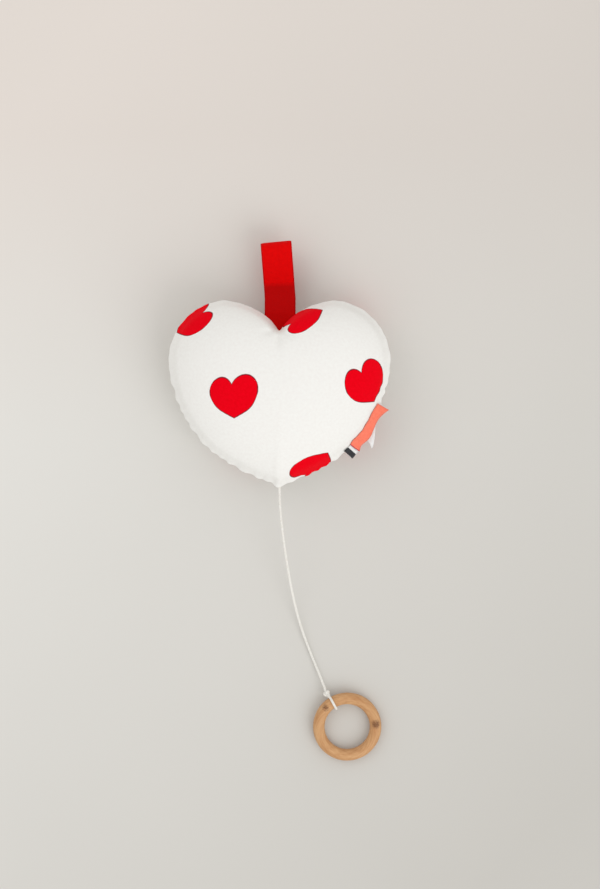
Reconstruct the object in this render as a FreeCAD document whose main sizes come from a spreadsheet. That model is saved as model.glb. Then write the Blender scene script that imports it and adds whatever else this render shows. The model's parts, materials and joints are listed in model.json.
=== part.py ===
"""Heart-shaped soft musical pull toy: a stuffed cloth heart on a webbing loop, with a pull-cord music movement
in a plastic case inside it, and a wooden ring on the end of the cord.

Millimetres. The toy lies on its back: +Z is up out of its front, +Y runs from its tip to its hanging loop.
The origin is on the flat patch of the back that the toy rests on, under the middle of the heart.
"""

import FreeCAD, Part
import math
import os
import re

import Sketcher
from FreeCAD import Placement, Rotation, Vector

SIZES = (
    # stuffed heart
    ("heart_half_width", 89.5, "axis to the widest point of a lobe"),
    ("widest_y", 10.0, "height of the widest point along the heart"),
    ("lobe_top_x", 45.0, "axis to the top of a lobe"),
    ("lobe_top_y", 62.0, "top of a lobe"),
    ("cleft_y", 39.0, "bottom of the cleft between the lobes"),
    ("flank_x", 57.0, "where the side turns into the lower flank"),
    ("flank_y", -59.0, "where the side turns into the lower flank"),
    ("shoulder_x", 6.0, "start of the rounded tip"),
    ("shoulder_y", -86.5, "start of the rounded tip"),
    ("tip_y", -89.5, "lowest point of the tip"),
    ("cleft_bulge", 5.0, "rise of the arc from cleft to lobe top"),
    ("lobe_bulge", 14.0, "rise of the arc from lobe top to widest point"),
    ("side_bulge", 7.3, "rise of the arc from widest point to flank"),
    ("flank_bulge", 2.6, "rise of the arc from flank to tip"),
    ("seam_height", 34.0, "seam above the surface the toy lies on"),
    ("front_crown", 38.0, "crown of the front above the seam"),
    ("back_crown", 36.0, "depth of the back below the seam before it lies flat"),
    ("crown_roundness", 2.4, "exponent across the crown"),
    ("seam_pinch", 0.62, "exponent towards the seam"),
    ("fabric_thickness", 1.0, "cotton with its seam allowance"),
    ("stuffing_gap", 0.3, "stuffing to cloth and to the case"),
    # hanging loop and sewn-in labels
    ("strap_width", 25.0, "webbing width"),
    ("strap_thickness", 1.4, "webbing thickness"),
    ("strap_reach", 71.0, "cleft to the fold of the loop"),
    ("strap_root", 9.0, "length sewn in below the cleft"),
    ("strap_opening", 8.0, "space between the two layers of the loop from the crease on"),
    ("strap_neck", 10.0, "length above the cleft where the layers still lie together"),
    ("strap_crease", 31.0, "cleft to the crease, where the loop bends up again"),
    ("strap_drop", 14.0, "seam down to the crease"),
    ("strap_rise", 4.0, "crease up to the fold"),
    ("label_length", 40.0, "long side label, along the seam"),
    ("label_reach", 10.0, "how far the side label stands out of the seam"),
    ("label_root", 4.0, "how far a label is sewn in"),
    ("label_thickness", 0.6, "folded ribbon"),
    ("label_share", 0.7, "middle of the labels along the heart's side, from its widest point to its flank"),
    ("care_length", 12.0, "care label, along the seam"),
    ("care_reach", 16.0, "how far the care label stands out of the seam"),
    ("sewn_gap", 0.2, "cloth to what is sewn into the seam"),
    # movement case
    ("case_width", 64.0, "outside, across the toy"),
    ("case_height", 58.0, "outside, along the toy"),
    ("case_wall", 1.6, "moulded wall"),
    ("case_corner", 12.0, "outside corner radius"),
    ("case_edge", 2.5, "radius round the faces"),
    ("case_y", -2.0, "middle of the case along the toy"),
    ("case_play", 0.8, "fan to the inside of the case"),
    ("boss_inset", 6.4, "screw boss from the outside of the case"),
    ("boss_radius", 3.2, "screw boss"),
    ("case_screw_radius", 1.25, "case screw shank"),
    ("case_screw_head", 2.3, "case screw head radius"),
    ("case_screw_seat", 1.8, "depth of the head's counterbore"),
    ("case_screw_length", 22.0, "under the head"),
    ("screw_clearance", 0.1, "round screw shanks and heads"),
    ("bush_radius", 2.4, "cord bush in the case wall"),
    ("bush_flange", 3.6, "cord bush flange radius"),
    ("bush_flange_thickness", 0.9, "cord bush flange"),
    ("bush_gap", 0.25, "cord to its bush and to the seam"),
    # cord and ring
    ("cord_diameter", 2.0, "braided pull cord"),
    ("exit_run", 8.0, "straight run of the cord out of the tip"),
    ("knot_radius", 2.9, "knot above the ring"),
    ("knot_offset", 8.4, "knot from the middle of the ring's section"),
    ("knot_stub", 4.0, "knot centre to where the free cord starts"),
    ("ring_mid_radius", 23.25, "ring centre to the middle of its section"),
    ("ring_section", 4.75, "radius of the ring's round section"),
    ("ring_x", 55.2, "ring centre"),
    ("ring_y", -285.6, "ring centre"),
    ("ring_loop_angle", 121.6, "where on the ring the cord is tied, in degrees"),
    ("loop_gap", 0.25, "cord loop to the ring"),
    # movement frame
    ("plate_width", 56.0, "base plate"),
    ("plate_height", 48.0, "base plate"),
    ("plate_thickness", 2.0, "base plate"),
    ("plate_corner", 15.5, "base plate corner radius"),
    ("top_plate_thickness", 1.5, "top plate"),
    ("pillar_radius", 2.0, "pillars between the plates"),
    ("pillar_right_x", 18.0, "two pillars on the right, from the middle of the case"),
    ("pillar_low_y", -14.0, "lower right pillar"),
    ("pillar_high_y", 14.8, "upper right pillar"),
    ("pillar_left_x", -23.0, "left pillar"),
    ("pillar_left_y", 9.0, "left pillar"),
    ("plate_margin", 3.0, "top plate round its pillars"),
    ("frame_screw_radius", 0.9, "small frame screws"),
    ("frame_screw_head", 1.6, "small frame screw heads"),
    ("frame_screw_head_height", 1.0, "small frame screw heads"),
    ("frame_screw_length", 6.0, "under the head"),
    ("axial_play", 0.4, "between stacked turning pieces"),
    ("running_clearance", 0.05, "shaft to bearing"),
    ("fixed_clearance", 0.02, "pieces that are pressed together"),
    # spool, mainspring and drive
    ("spool_core", 8.0, "radius the cord winds on"),
    ("spool_flange", 12.5, "spool flange radius"),
    ("spool_wall", 1.0, "barrel wall and flanges"),
    ("spring_height", 5.0, "mainspring strip width"),
    ("spring_strip", 0.3, "mainspring strip thickness"),
    ("spring_pitch", 1.4, "mainspring from turn to turn"),
    ("spring_turns", 5.0, "mainspring turns"),
    ("winding_turns", 1.5, "turns of cord left on the spool"),
    ("winding_pitch", 2.5, "cord from turn to turn on the spool"),
    ("groove_gap", 0.25, "cord to spool"),
    ("spool_y", -9.0, "spool axis from the middle of the case"),
    ("arbor_radius", 1.5, "fixed spool arbor"),
    ("ratchet_radius", 5.0, "ratchet wheel over its teeth"),
    ("ratchet_teeth", 12.0, "ratchet wheel"),
    ("ratchet_depth", 0.8, "ratchet tooth"),
    ("ratchet_height", 1.2, "ratchet wheel thickness"),
    ("click_gap", 0.2, "click fingers to the ratchet teeth"),
    ("click_thickness", 0.5, "click spring sheet"),
    ("click_reach", 2.5, "click fingers, from the ring they hang on"),
    ("click_width", 1.5, "click spring ring and fingers"),
    ("gear_module", 0.6, "drive gears"),
    ("gear_width", 2.0, "drive gears"),
    ("great_teeth", 50.0, "great wheel"),
    ("cylinder_teeth", 20.0, "cylinder gear"),
    ("pinion_teeth", 10.0, "governor pinion"),
    ("cylinder_bearing", 40.0, "direction from spool to cylinder, in degrees"),
    ("governor_bearing", 120.0, "direction from cylinder to governor, in degrees"),
    # cylinder and comb
    ("cylinder_radius", 6.5, "pinned cylinder"),
    ("cylinder_wall", 0.8, "pinned cylinder wall"),
    ("cylinder_arbor", 0.9, "cylinder arbor"),
    ("pin_height", 0.5, "tune pins above the cylinder"),
    ("pin_radius", 0.25, "tune pins"),
    ("comb_teeth", 18.0, "tuned teeth"),
    ("comb_pitch", 0.78, "tooth to tooth"),
    ("comb_slot", 0.25, "saw cut between teeth"),
    ("comb_thickness", 0.8, "spring steel"),
    ("comb_length", 21.4, "tip to heel"),
    ("comb_tooth_length", 13.0, "free length of a tooth"),
    ("comb_overlap", 0.4, "tooth tip past the top of the cylinder"),
    ("comb_gap", 0.12, "tooth to the top of the pins at rest"),
    ("bed_depth", 6.5, "comb bed below the comb"),
    # governor
    ("worm_module", 0.4, "worm and its wheel"),
    ("worm_wheel_teeth", 24.0, "worm wheel"),
    ("worm_wheel_width", 1.2, "worm wheel"),
    ("worm_radius", 1.8, "worm at its pitch line"),
    ("worm_turns", 8.0, "worm thread turns"),
    ("worm_thread", 0.35, "worm thread thickness at its pitch line"),
    ("governor_shaft", 0.6, "governor arbor and fan shaft"),
    ("lug_span", 7.5, "bracket lug from the governor arbor"),
    ("lug_thickness", 1.5, "bracket lugs"),
    ("bracket_wall", 1.6, "bracket wall and foot"),
    ("bracket_setback", 2.8, "fan shaft to the bracket wall"),
    ("fan_radius", 5.5, "air-brake fan"),
    ("fan_length", 6.0, "air-brake fan, along its shaft"),
    ("fan_thickness", 0.4, "air-brake fan blade"),
)

# Free cord from the tip of the heart to the knot, as chosen: x, y and height of each point.
CORD_ROUTE = (
    (0.6, -107.0, 32.6),
    (2.2, -124.5, 28.6),
    (5.0, -145.0, 21.6),
    (8.6, -168.0, 13.4),
    (13.2, -190.0, 6.9),
    (19.0, -209.5, 3.2),
    (25.6, -227.0, 1.7),
    (31.6, -241.0, 2.6),
)

doc = FreeCAD.newDocument("musical_heart")
sheet = doc.addObject("Spreadsheet::Sheet", "dims")
for row, (alias, value, words) in enumerate(SIZES, 1):
    sheet.set(f"A{row}", words)
    sheet.set(f"B{row}", str(value))
    sheet.setAlias(f"B{row}", alias)
doc.recompute()
ALIASES = {alias for alias, _, _ in SIZES}
parts = []


# Helpers: sizes as expressions, and features bound to them

def bound(text):
    """An expression over the sheet's sizes, with each size named in full."""
    return re.sub(r"[a-z_]+", lambda m: f"dims.{m[0]}" if m[0] in ALIASES else m[0], str(text))


def number(text):
    return float(sheet.evalExpression(bound(text)))


def bind(target, **expressions):
    for name, text in expressions.items():
        target.setExpression(name, bound(text))
    return target


def place(target, x="0", y="0", z="0", turn=None):
    """Puts a finished piece in the toy's frame; turn is a fixed rotation."""
    if turn is not None:
        target.Placement = Placement(Vector(), turn)
    for axis, text in zip("xyz", (x, y, z)):
        target.setExpression(f".Placement.Base.{axis}", bound(text))
    return target


def keep(target, label):
    """Names a finished sub-part and lists it for export."""
    target.Label = label
    parts.append(target)
    return target


def new_body(label):
    return keep(doc.addObject("PartDesign::Body", label), label)


def solid(label, shape):
    """A sub-part whose shape is made directly, where no feature fits it."""
    return keep_shape(doc.addObject("Part::Feature", label), label, shape)


def keep_shape(target, label, shape):
    target.Shape = shape
    return keep(target, label)


def new_sketch(body, role, height="0"):
    sketch = body.newObject("Sketcher::SketchObject", f"{body.Name}_sketch")
    support = next(f for f in body.Origin.OriginFeatures if f.Role == role)
    sketch.AttachmentSupport = [(support, "")]
    sketch.MapMode = "FlatFace"
    sketch.setExpression(".AttachmentOffset.Base.z", bound(height))
    return sketch


def polygon(body, role, points, height="0"):
    """A closed outline whose every corner is held by two sizes."""
    sketch = new_sketch(body, role, height)
    corners = [Vector(number(u), number(v), 0) for u, v in points]
    for i, corner in enumerate(corners):
        sketch.addGeometry(Part.LineSegment(corner, corners[(i + 1) % len(corners)]))
    for i in range(len(corners)):
        sketch.addConstraint(Sketcher.Constraint("Coincident", i, 2, (i + 1) % len(corners), 1))
    for i, (corner, texts) in enumerate(zip(corners, points)):
        for kind, at, text in zip(("DistanceX", "DistanceY"), corner, texts):
            k = sketch.addConstraint(Sketcher.Constraint(kind, -1, 1, i, 1, at))
            sketch.setExpression(f"Constraints[{k}]", bound(text))
    return sketch


def rectangle(body, width, height, level="0"):
    w, h = f"({width})/2", f"({height})/2"
    return polygon(body, "XY_Plane", ((f"-{w}", f"-{h}"), (w, f"-{h}"), (w, h), (f"-{w}", h)), level)


def circles(body, role, places, radius, height="0"):
    sketch = new_sketch(body, role, height)
    for i, (u, v) in enumerate(places):
        sketch.addGeometry(Part.Circle(Vector(number(u), number(v), 0), Vector(0, 0, 1), number(radius)))
        k = sketch.addConstraint(Sketcher.Constraint("Radius", i, number(radius)))
        sketch.setExpression(f"Constraints[{k}]", bound(radius))
        for kind, text in (("DistanceX", u), ("DistanceY", v)):
            k = sketch.addConstraint(Sketcher.Constraint(kind, -1, 1, i, 3, number(text)))
            sketch.setExpression(f"Constraints[{k}]", bound(text))
    return sketch


def pad(body, sketch, length):
    feature = body.newObject("PartDesign::Pad", f"{body.Name}_pad")
    feature.Profile = sketch
    return bind(feature, Length=length)


def pocket(body, sketch, length):
    """Cuts from the sketch down towards the body's base."""
    feature = body.newObject("PartDesign::Pocket", f"{body.Name}_pocket")
    feature.Profile = sketch
    return bind(feature, Length=length)


def revolve(body, points):
    """Turns a half section of (radius, height) corners about the body's own Z axis."""
    sketch = polygon(body, "XZ_Plane", points)
    feature = body.newObject("PartDesign::Revolution", f"{body.Name}_revolution")
    feature.Profile = sketch
    feature.ReferenceAxis = (sketch, ["V_Axis"])
    feature.Angle = 360
    return feature


def cross_bore(body, radius, length, x, y, z):
    """A round cut along Y from (x, y, z) towards -Y."""
    feature = body.newObject("PartDesign::SubtractiveCylinder", f"{body.Name}_bore")
    bind(feature, Radius=radius, Height=length)
    return place(feature, x, y, z, Rotation(Vector(1, 0, 0), 90))


def block(body, low, high):
    """A rectangular lump between two corners."""
    feature = body.newObject("PartDesign::AdditiveBox", f"{body.Name}_block")
    spans = [f"({b}) - ({a})" for a, b in zip(low, high)]
    bind(feature, Length=spans[0], Width=spans[1], Height=spans[2])
    return place(feature, *low)


def round_edges(body, radius, wanted):
    """Fillets the edges of the body so far that wanted picks."""
    doc.recompute()
    base = body.Tip
    names = [f"Edge{i}" for i, edge in enumerate(base.Shape.Edges, 1) if wanted(edge)]
    feature = body.newObject("PartDesign::Fillet", f"{body.Name}_fillet")
    feature.Base = (base, names)
    return bind(feature, Radius=radius)


def hollow(body, wall, rim):
    """Leaves a wall all round the body so far, open at the level rim."""
    doc.recompute()
    base = body.Tip
    names = [f"Face{i}" for i, face in enumerate(base.Shape.Faces, 1) if at_height(number(rim))(face)]
    feature = body.newObject("PartDesign::Thickness", f"{body.Name}_hollow")
    feature.Base = (base, names)
    feature.Reversed = True
    return bind(feature, Value=wall)


def upright(edge):
    start, end = edge.Vertexes[0].Point, edge.Vertexes[-1].Point
    return (end - start).Length > 1e-6 and math.hypot(end.x - start.x, end.y - start.y) < 1e-6


def at_height(z):
    return lambda edge: all(abs(v.Z - z) < 1e-6 for v in edge.Vertexes)


# Places in the movement, measured from the underside of its base plate and the middle of its case

WIND_RADIUS = "(spool_core + groove_gap + cord_diameter/2)"
SPOOL_X = f"(-{WIND_RADIUS})"
GROOVE = "(winding_turns*winding_pitch + cord_diameter + 2*groove_gap)"
SPOOL_BASE = "(plate_thickness + axial_play)"
WEB_BASE = f"({SPOOL_BASE} + spool_wall + spring_height + axial_play)"
CORD_LEVEL = f"({WEB_BASE} + spool_wall + groove_gap + cord_diameter/2)"
SPOOL_TOP = f"({WEB_BASE} + 2*spool_wall + {GROOVE})"
GEAR_LEVEL = f"({SPOOL_TOP} + ratchet_height + axial_play)"
WORM_WHEEL_LEVEL = f"({GEAR_LEVEL} + gear_width + axial_play)"
WORM_LEVEL = f"({WORM_WHEEL_LEVEL} + worm_wheel_width/2)"
TOP_PLATE = f"({WORM_WHEEL_LEVEL} + worm_wheel_width + 2*axial_play)"
CASE_INSIDE = f"({WORM_LEVEL} + fan_radius + case_play)"

GREAT_REACH = "(gear_module*(great_teeth + cylinder_teeth)/2)"
CYLINDER_X = f"({SPOOL_X} + {GREAT_REACH}*cos(cylinder_bearing*1deg))"
CYLINDER_Y = f"(spool_y + {GREAT_REACH}*sin(cylinder_bearing*1deg))"
PINION_REACH = "(gear_module*(cylinder_teeth + pinion_teeth)/2)"
GOVERNOR_X = f"({CYLINDER_X} + {PINION_REACH}*cos(governor_bearing*1deg))"
GOVERNOR_Y = f"({CYLINDER_Y} + {PINION_REACH}*sin(governor_bearing*1deg))"
WORM_Y = f"({GOVERNOR_Y} + worm_module*worm_wheel_teeth/2 + worm_radius)"
PILLARS = (
    ("pillar_right_x", "pillar_low_y"), ("pillar_left_x", "pillar_left_y"), ("pillar_right_x", "pillar_high_y"),
)
FAN_EDGE = f"({WORM_Y} - fan_radius - 2*axial_play)"
WORM_EDGE = f"({WORM_Y} - worm_radius)"
TOP_PLATE_OUTLINE = (
    ("pillar_left_x - plate_margin", FAN_EDGE),
    ("pillar_left_x - plate_margin", "pillar_low_y"),
    (f"{SPOOL_X} - plate_margin", "pillar_low_y - plate_margin"),
    ("pillar_right_x + plate_margin", "pillar_low_y - plate_margin"),
    ("pillar_right_x + plate_margin", WORM_EDGE),
    (f"{GOVERNOR_X} - lug_span/2", WORM_EDGE),
    (f"{GOVERNOR_X} - lug_span", FAN_EDGE),
)
COMB_X = f"({CYLINDER_X} - comb_overlap)"
COMB_Y = f"({CYLINDER_Y} + cylinder_radius + pin_height + comb_gap)"
COMB_WIDTH = "(comb_teeth*comb_pitch)"
CYLINDER_BASE = "(plate_thickness + axial_play)"
CYLINDER_LENGTH = f"({GEAR_LEVEL} - axial_play - {CYLINDER_BASE})"
COMB_BASE = f"({CYLINDER_BASE} + ({CYLINDER_LENGTH} - {COMB_WIDTH})/2)"
COMB_HEEL = "(comb_length - comb_tooth_length)"

# The same places in the toy's frame: the cord runs level with the seam, out of the tip

MOVEMENT_Z = f"(seam_height - {CORD_LEVEL})"
CASE_FLOOR = f"({MOVEMENT_Z} - case_wall)"
BACK_DEPTH = f"({CORD_LEVEL} + case_wall)"
FRONT_DEPTH = f"({CASE_INSIDE} + case_wall - {CORD_LEVEL})"
EXIT_Y = "(tip_y - 0.5*fabric_thickness)"


def in_movement(shape, x="0", y="0", z="0"):
    """A shape made about its own axis, moved to its place in the movement."""
    moved = shape.copy()
    moved.Placement = Placement(
        Vector(number(x), number(y) + number("case_y"), number(z) + number(MOVEMENT_Z)), Rotation()
    ).multiply(shape.Placement)
    return moved


def place_in_movement(target, x="0", y="0", z="0", turn=None):
    return place(target, x, f"{y} + case_y", f"{z} + {MOVEMENT_Z}", turn)


def rod(radius, length, base=Vector(), direction=Vector(0, 0, 1)):
    return Part.makeCylinder(radius, length, base, direction)


# Stuffed heart: two sewn panels round the stuffing

def arc_with_rise(start, end, rise):
    """An arc that stands out by rise on the left of the way from start to end."""
    way = end - start
    out = Vector(-way.y, way.x, 0).normalize()
    return Part.Arc(start, (start + end) * 0.5 + out * rise, end).toShape()


def heart_outline(share, height):
    """The heart's outline, shrunk to a share of its size about the origin; the cleft fills up as it shrinks."""
    cleft = number("cleft_y") + (1 - share**2) * (number("lobe_top_y") - number("cleft_y"))
    corners = [
        Vector(0, cleft, 0),
        Vector(number("lobe_top_x"), number("lobe_top_y"), 0),
        Vector(number("heart_half_width"), number("widest_y"), 0),
        Vector(number("flank_x"), number("flank_y"), 0),
        Vector(number("shoulder_x"), number("shoulder_y"), 0),
    ]
    rises = [number(f"{name}_bulge") for name in ("cleft", "lobe", "side", "flank")]
    right = [arc_with_rise(a, b, rise) for a, b, rise in zip(corners, corners[1:], rises)]
    end = corners[-1]
    tip = Part.Arc(end, Vector(0, number("tip_y"), 0), Vector(-end.x, end.y, 0)).toShape()
    left = [edge.mirror(Vector(), Vector(1, 0, 0)) for edge in reversed(right)]
    outline = Part.Wire(right + [tip] + left)
    outline.scale(share)
    outline.translate(Vector(0, 0, height))
    return outline


SECTIONS = 7


def dome(crown, inset):
    """One crowned half of the heart on the seam plane; inset takes it in from the outside of the cloth."""
    seam = number("seam_height")
    rise = crown - math.copysign(inset, crown)
    size = 1 - inset / number("heart_half_width")
    sections = []
    for k in range(SECTIONS):
        share = math.cos(math.pi / 2 * k / SECTIONS)
        lift = (1 - share ** number("crown_roundness")) ** number("seam_pinch")
        sections.append(heart_outline(share * size, seam + rise * lift))
    sections.append(Part.Vertex(0, 0, seam + rise))
    return Part.makeLoft(sections, True)


def above(level):
    """Everything round the toy above a level."""
    reach = 4 * number("heart_half_width")
    return Part.makeBox(reach, reach, reach, Vector(-reach / 2, -reach / 2, level))


def strap_slot():
    gap, thick = number("sewn_gap"), 2 * number("strap_thickness")
    width, root = number("strap_width") + 2 * gap, number("strap_root") + gap
    low = Vector(-width / 2, number("cleft_y") - root, number("seam_height") - thick / 2 - gap)
    return Part.makeBox(width, number("strap_reach"), thick + 2 * gap, low)


def label_seat():
    """The middle of the labels on the side seam, with X along the seam and -Y out of the heart."""
    widest = Vector(number("heart_half_width"), number("widest_y"), 0)
    side = arc_with_rise(widest, Vector(number("flank_x"), number("flank_y"), 0), number("side_bulge"))
    at = side.FirstParameter + number("label_share") * (side.LastParameter - side.FirstParameter)
    along = side.tangentAt(at)
    turn = math.degrees(math.atan2(-along.y, -along.x))
    point = side.valueAt(at) + Vector(0, 0, number("seam_height"))
    return Placement(point, Rotation(Vector(0, 0, 1), turn))


def seam_plate(length, reach, root, thickness, low, grow=0.0):
    """A flat label in the side seam, standing out by reach; grow adds room round it."""
    corner = Vector(-length / 2 - grow, -reach - grow, low - grow)
    plate = Part.makeBox(length + 2 * grow, root + reach + 2 * grow, thickness + 2 * grow, corner)
    plate.Placement = label_seat()
    return plate


def side_label(grow=0.0):
    sizes = [number(name) for name in ("label_length", "label_reach", "label_root", "label_thickness")]
    return seam_plate(*sizes, number("sewn_gap") / 2, grow)


def care_label(grow=0.0):
    sizes = [number(name) for name in ("care_length", "care_reach", "label_root", "label_thickness")]
    return seam_plate(*sizes, -number("label_thickness") - number("sewn_gap") / 2, grow)


def cord_passage(gap, start, end):
    """The straight way of the cord from inside the case to the tip."""
    radius = number("cord_diameter") / 2 + gap
    return rod(radius, start - end, Vector(0, start, number("seam_height")), Vector(0, -1, 0))


def case_room():
    gap = number("stuffing_gap")
    width, height = number("case_width") + 2 * gap, number("case_height") + 2 * gap
    depth = number(f"{BACK_DEPTH} + {FRONT_DEPTH}") + 2 * gap
    low = Vector(-width / 2, number("case_y") - height / 2, number(CASE_FLOOR) - gap)
    room = Part.makeBox(width, height, depth, low)
    corners = [edge for edge in room.Edges if upright(edge)]
    flange = number("bush_flange_thickness") + gap
    way = rod(
        number("bush_flange") + gap, flange + gap,
        Vector(0, low.y + gap, number("seam_height")), Vector(0, -1, 0),
    )
    return room.makeFillet(number("case_corner"), corners).fuse(way)


def make_heart():
    cloth, gap = number("fabric_thickness"), number("stuffing_gap")
    front, back = number("front_crown"), -number("back_crown")
    sewn_in = [strap_slot(), side_label(number("sewn_gap")), care_label(number("sewn_gap"))]
    passage = cord_passage(number("bush_gap"), number("case_y"), number("tip_y") - 2 * cloth)
    solid("front_panel", dome(front, 0).cut([dome(front, cloth), passage] + sewn_in))
    outside = dome(back, 0).common(above(0))
    solid("back_panel", outside.cut([dome(back, cloth).common(above(cloth)), passage] + sewn_in))
    inset = cloth + gap
    filling = dome(front, inset).fuse(dome(back, inset).common(above(inset))).removeSplitter()
    solid("stuffing", filling.cut([case_room(), passage] + sewn_in))


# Hanging loop: webbing folded back on itself, sewn into the cleft

def make_strap():
    """Two layers lie together in the seam, part on their way down to a crease, and rise to the fold."""
    t, root, neck, crease = (number(f"strap_{name}") for name in ("thickness", "root", "neck", "crease"))
    half, drop, rise = number("strap_opening/2"), number("strap_drop"), number("strap_rise")
    width, turn = number("strap_width"), number("strap_reach") - t - half

    def layers(offset):
        """The section's outline, at a distance outside the inner faces of the webbing."""
        upper, lower = (
            [Vector(-root, side * offset, 0), Vector(neck, side * offset, 0),
             Vector(crease, side * (half + offset) - drop, 0), Vector(turn, side * (half + offset) - drop + rise, 0)]
            for side in (1, -1)
        )
        bend = Part.Arc(upper[-1], Vector(turn + half + offset, rise - drop, 0), lower[-1]).toShape()
        runs = [[Part.LineSegment(a, b).toShape() for a, b in zip(side, side[1:])] for side in (upper, lower)]
        return runs[0] + [bend] + runs[1][::-1]

    foot = Part.LineSegment(Vector(-root, -t, 0), Vector(-root, t, 0)).toShape()
    outside = Part.Face(Part.Wire(Part.__sortEdges__(layers(t) + [foot])))
    space = Part.Face(Part.Wire(Part.__sortEdges__(layers(0)[1:-1])))
    band = outside.cut(space).extrude(Vector(0, 0, width))
    band.Placement = Placement(
        Vector(-width / 2, number("cleft_y"), number("seam_height")),
        Rotation(Vector(0, 1, 0), Vector(0, 0, 1), Vector(1, 0, 0), "ZXY"),
    )
    solid("hanging_loop", band)


# Movement case: two screwed shells split level with the cord

BOSSES = [(f"{sx}(case_width/2 - boss_inset)", f"{sy}(case_height/2 - boss_inset)") for sx in ("", "-") for sy in ("", "-")]


def make_shell(label, depth, screw_bore):
    """A tray with screw bosses in its corners, its closed face at the bottom and its rim at the top."""
    body = new_body(label)
    pad(body, rectangle(body, "case_width", "case_height"), depth)
    round_edges(body, "case_corner", upright)
    round_edges(body, "case_edge", at_height(0))
    hollow(body, "case_wall", depth)
    pad(body, circles(body, "XY_Plane", BOSSES, "boss_radius", "case_wall/2"), f"{depth} - case_wall/2")
    pocket(body, circles(body, "XY_Plane", BOSSES, "case_screw_radius + screw_clearance", depth), screw_bore)
    cross_bore(body, "bush_radius + fixed_clearance", "4*case_wall", "0", "2*case_wall - case_height/2", depth)
    return body


def make_case():
    back = make_shell("case_back", BACK_DEPTH, f"2*{BACK_DEPTH}")
    seats = circles(back, "XY_Plane", BOSSES, "case_screw_head + screw_clearance", "case_screw_seat")
    pocket(back, seats, "2*case_screw_seat")
    place(back, "0", "case_y", CASE_FLOOR)
    screw_reach = f"(case_screw_seat + case_screw_length - {BACK_DEPTH} + screw_clearance)"
    front = make_shell("case_front", FRONT_DEPTH, screw_reach)
    place(front, "0", "case_y", f"seam_height + {FRONT_DEPTH}", Rotation(Vector(0, 1, 0), 180))


def screw(radius, head, head_height, length):
    """A screw along +Z with the underside of its head at the origin and a driver slot across the head."""
    shank = rod(radius, length)
    cap = rod(head, head_height, Vector(0, 0, -head_height))
    slot = Part.makeBox(2.2 * head, 0.3 * head, 0.4 * head_height, Vector(-1.1 * head, -0.15 * head, -head_height))
    return cap.fuse(shank).cut(slot).removeSplitter()


def make_case_screws():
    one = screw(*[number(n) for n in ("case_screw_radius", "case_screw_head", "case_screw_seat", "case_screw_length")])
    one.translate(Vector(0, number("case_y"), number(f"{CASE_FLOOR} + case_screw_seat")))
    copies = []
    for x, y in BOSSES:
        copy = one.copy()
        copy.translate(Vector(number(x), number(y), 0))
        copies.append(copy)
    solid("case_screws", Part.makeCompound(copies))


def make_cord_bush():
    """A flanged eyelet held between the two shells, where the cord leaves the case."""
    bore = "cord_diameter/2 + bush_gap"
    body = new_body("cord_bush")
    revolve(body, (
        (bore, "-case_wall"), ("bush_radius", "-case_wall"), ("bush_radius", "0"), ("bush_flange", "0"),
        ("bush_flange", "bush_flange_thickness"), (bore, "bush_flange_thickness"),
    ))
    place(body, "0", "case_y - case_height/2", "seam_height", Rotation(Vector(1, 0, 0), 90))


# Movement frame: base plate with pillars and comb bed, top plate, comb and their screws

def make_base_plate():
    body = new_body("base_plate")
    pad(body, rectangle(body, "plate_width", "plate_height"), "plate_thickness")
    round_edges(body, "plate_corner", upright)
    pad(body, circles(body, "XY_Plane", PILLARS, "pillar_radius"), TOP_PLATE)
    heel = f"{COMB_X} + comb_tooth_length + comb_slot"
    block(
        body, (heel, f"{COMB_Y} - bed_depth", "plate_thickness/2"),
        (f"{COMB_X} + comb_length", COMB_Y, f"{COMB_BASE} + {COMB_WIDTH}"),
    )
    pocket(body, circles(body, "XY_Plane", PILLARS, "frame_screw_radius + screw_clearance", TOP_PLATE), "frame_screw_length")
    for x, z in COMB_SCREWS:
        cross_bore(body, "frame_screw_radius + screw_clearance", "frame_screw_length", x, f"{COMB_Y} + comb_slot", z)
    bores = (("arbor_radius + fixed_clearance", SPOOL_X, "spool_y"),
             ("cylinder_arbor + running_clearance", CYLINDER_X, CYLINDER_Y))
    for radius, x, y in bores:
        pocket(body, circles(body, "XY_Plane", [(x, y)], radius, "plate_thickness"), "plate_thickness")
    screws = circles(body, "XY_Plane", BRACKET_SCREWS, "frame_screw_radius + screw_clearance", "plate_thickness")
    pocket(body, screws, "plate_thickness")
    place_in_movement(body)


COMB_SCREWS = [
    (f"({COMB_X} + comb_tooth_length + {COMB_HEEL}/2)", f"({COMB_BASE} + {COMB_WIDTH}*{share})") for share in (0.25, 0.75)
]
BRACKET_SCREWS = [(f"({GOVERNOR_X} {side} lug_span*0.6)", f"({WORM_Y} - bracket_wall)") for side in "-+"]


def make_top_plate():
    body = new_body("top_plate")
    pad(body, polygon(body, "XY_Plane", TOP_PLATE_OUTLINE), "top_plate_thickness")
    round_edges(body, "pillar_radius", upright)
    pocket(body, circles(body, "XY_Plane", PILLARS, "frame_screw_radius + screw_clearance", "top_plate_thickness"),
           "top_plate_thickness")
    bores = (("arbor_radius + fixed_clearance", SPOOL_X, "spool_y"),
             ("cylinder_arbor + running_clearance", CYLINDER_X, CYLINDER_Y),
             ("governor_shaft + running_clearance", GOVERNOR_X, GOVERNOR_Y))
    for radius, x, y in bores:
        pocket(body, circles(body, "XY_Plane", [(x, y)], radius, "top_plate_thickness"), "top_plate_thickness")
    place_in_movement(body, z=TOP_PLATE)


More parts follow.
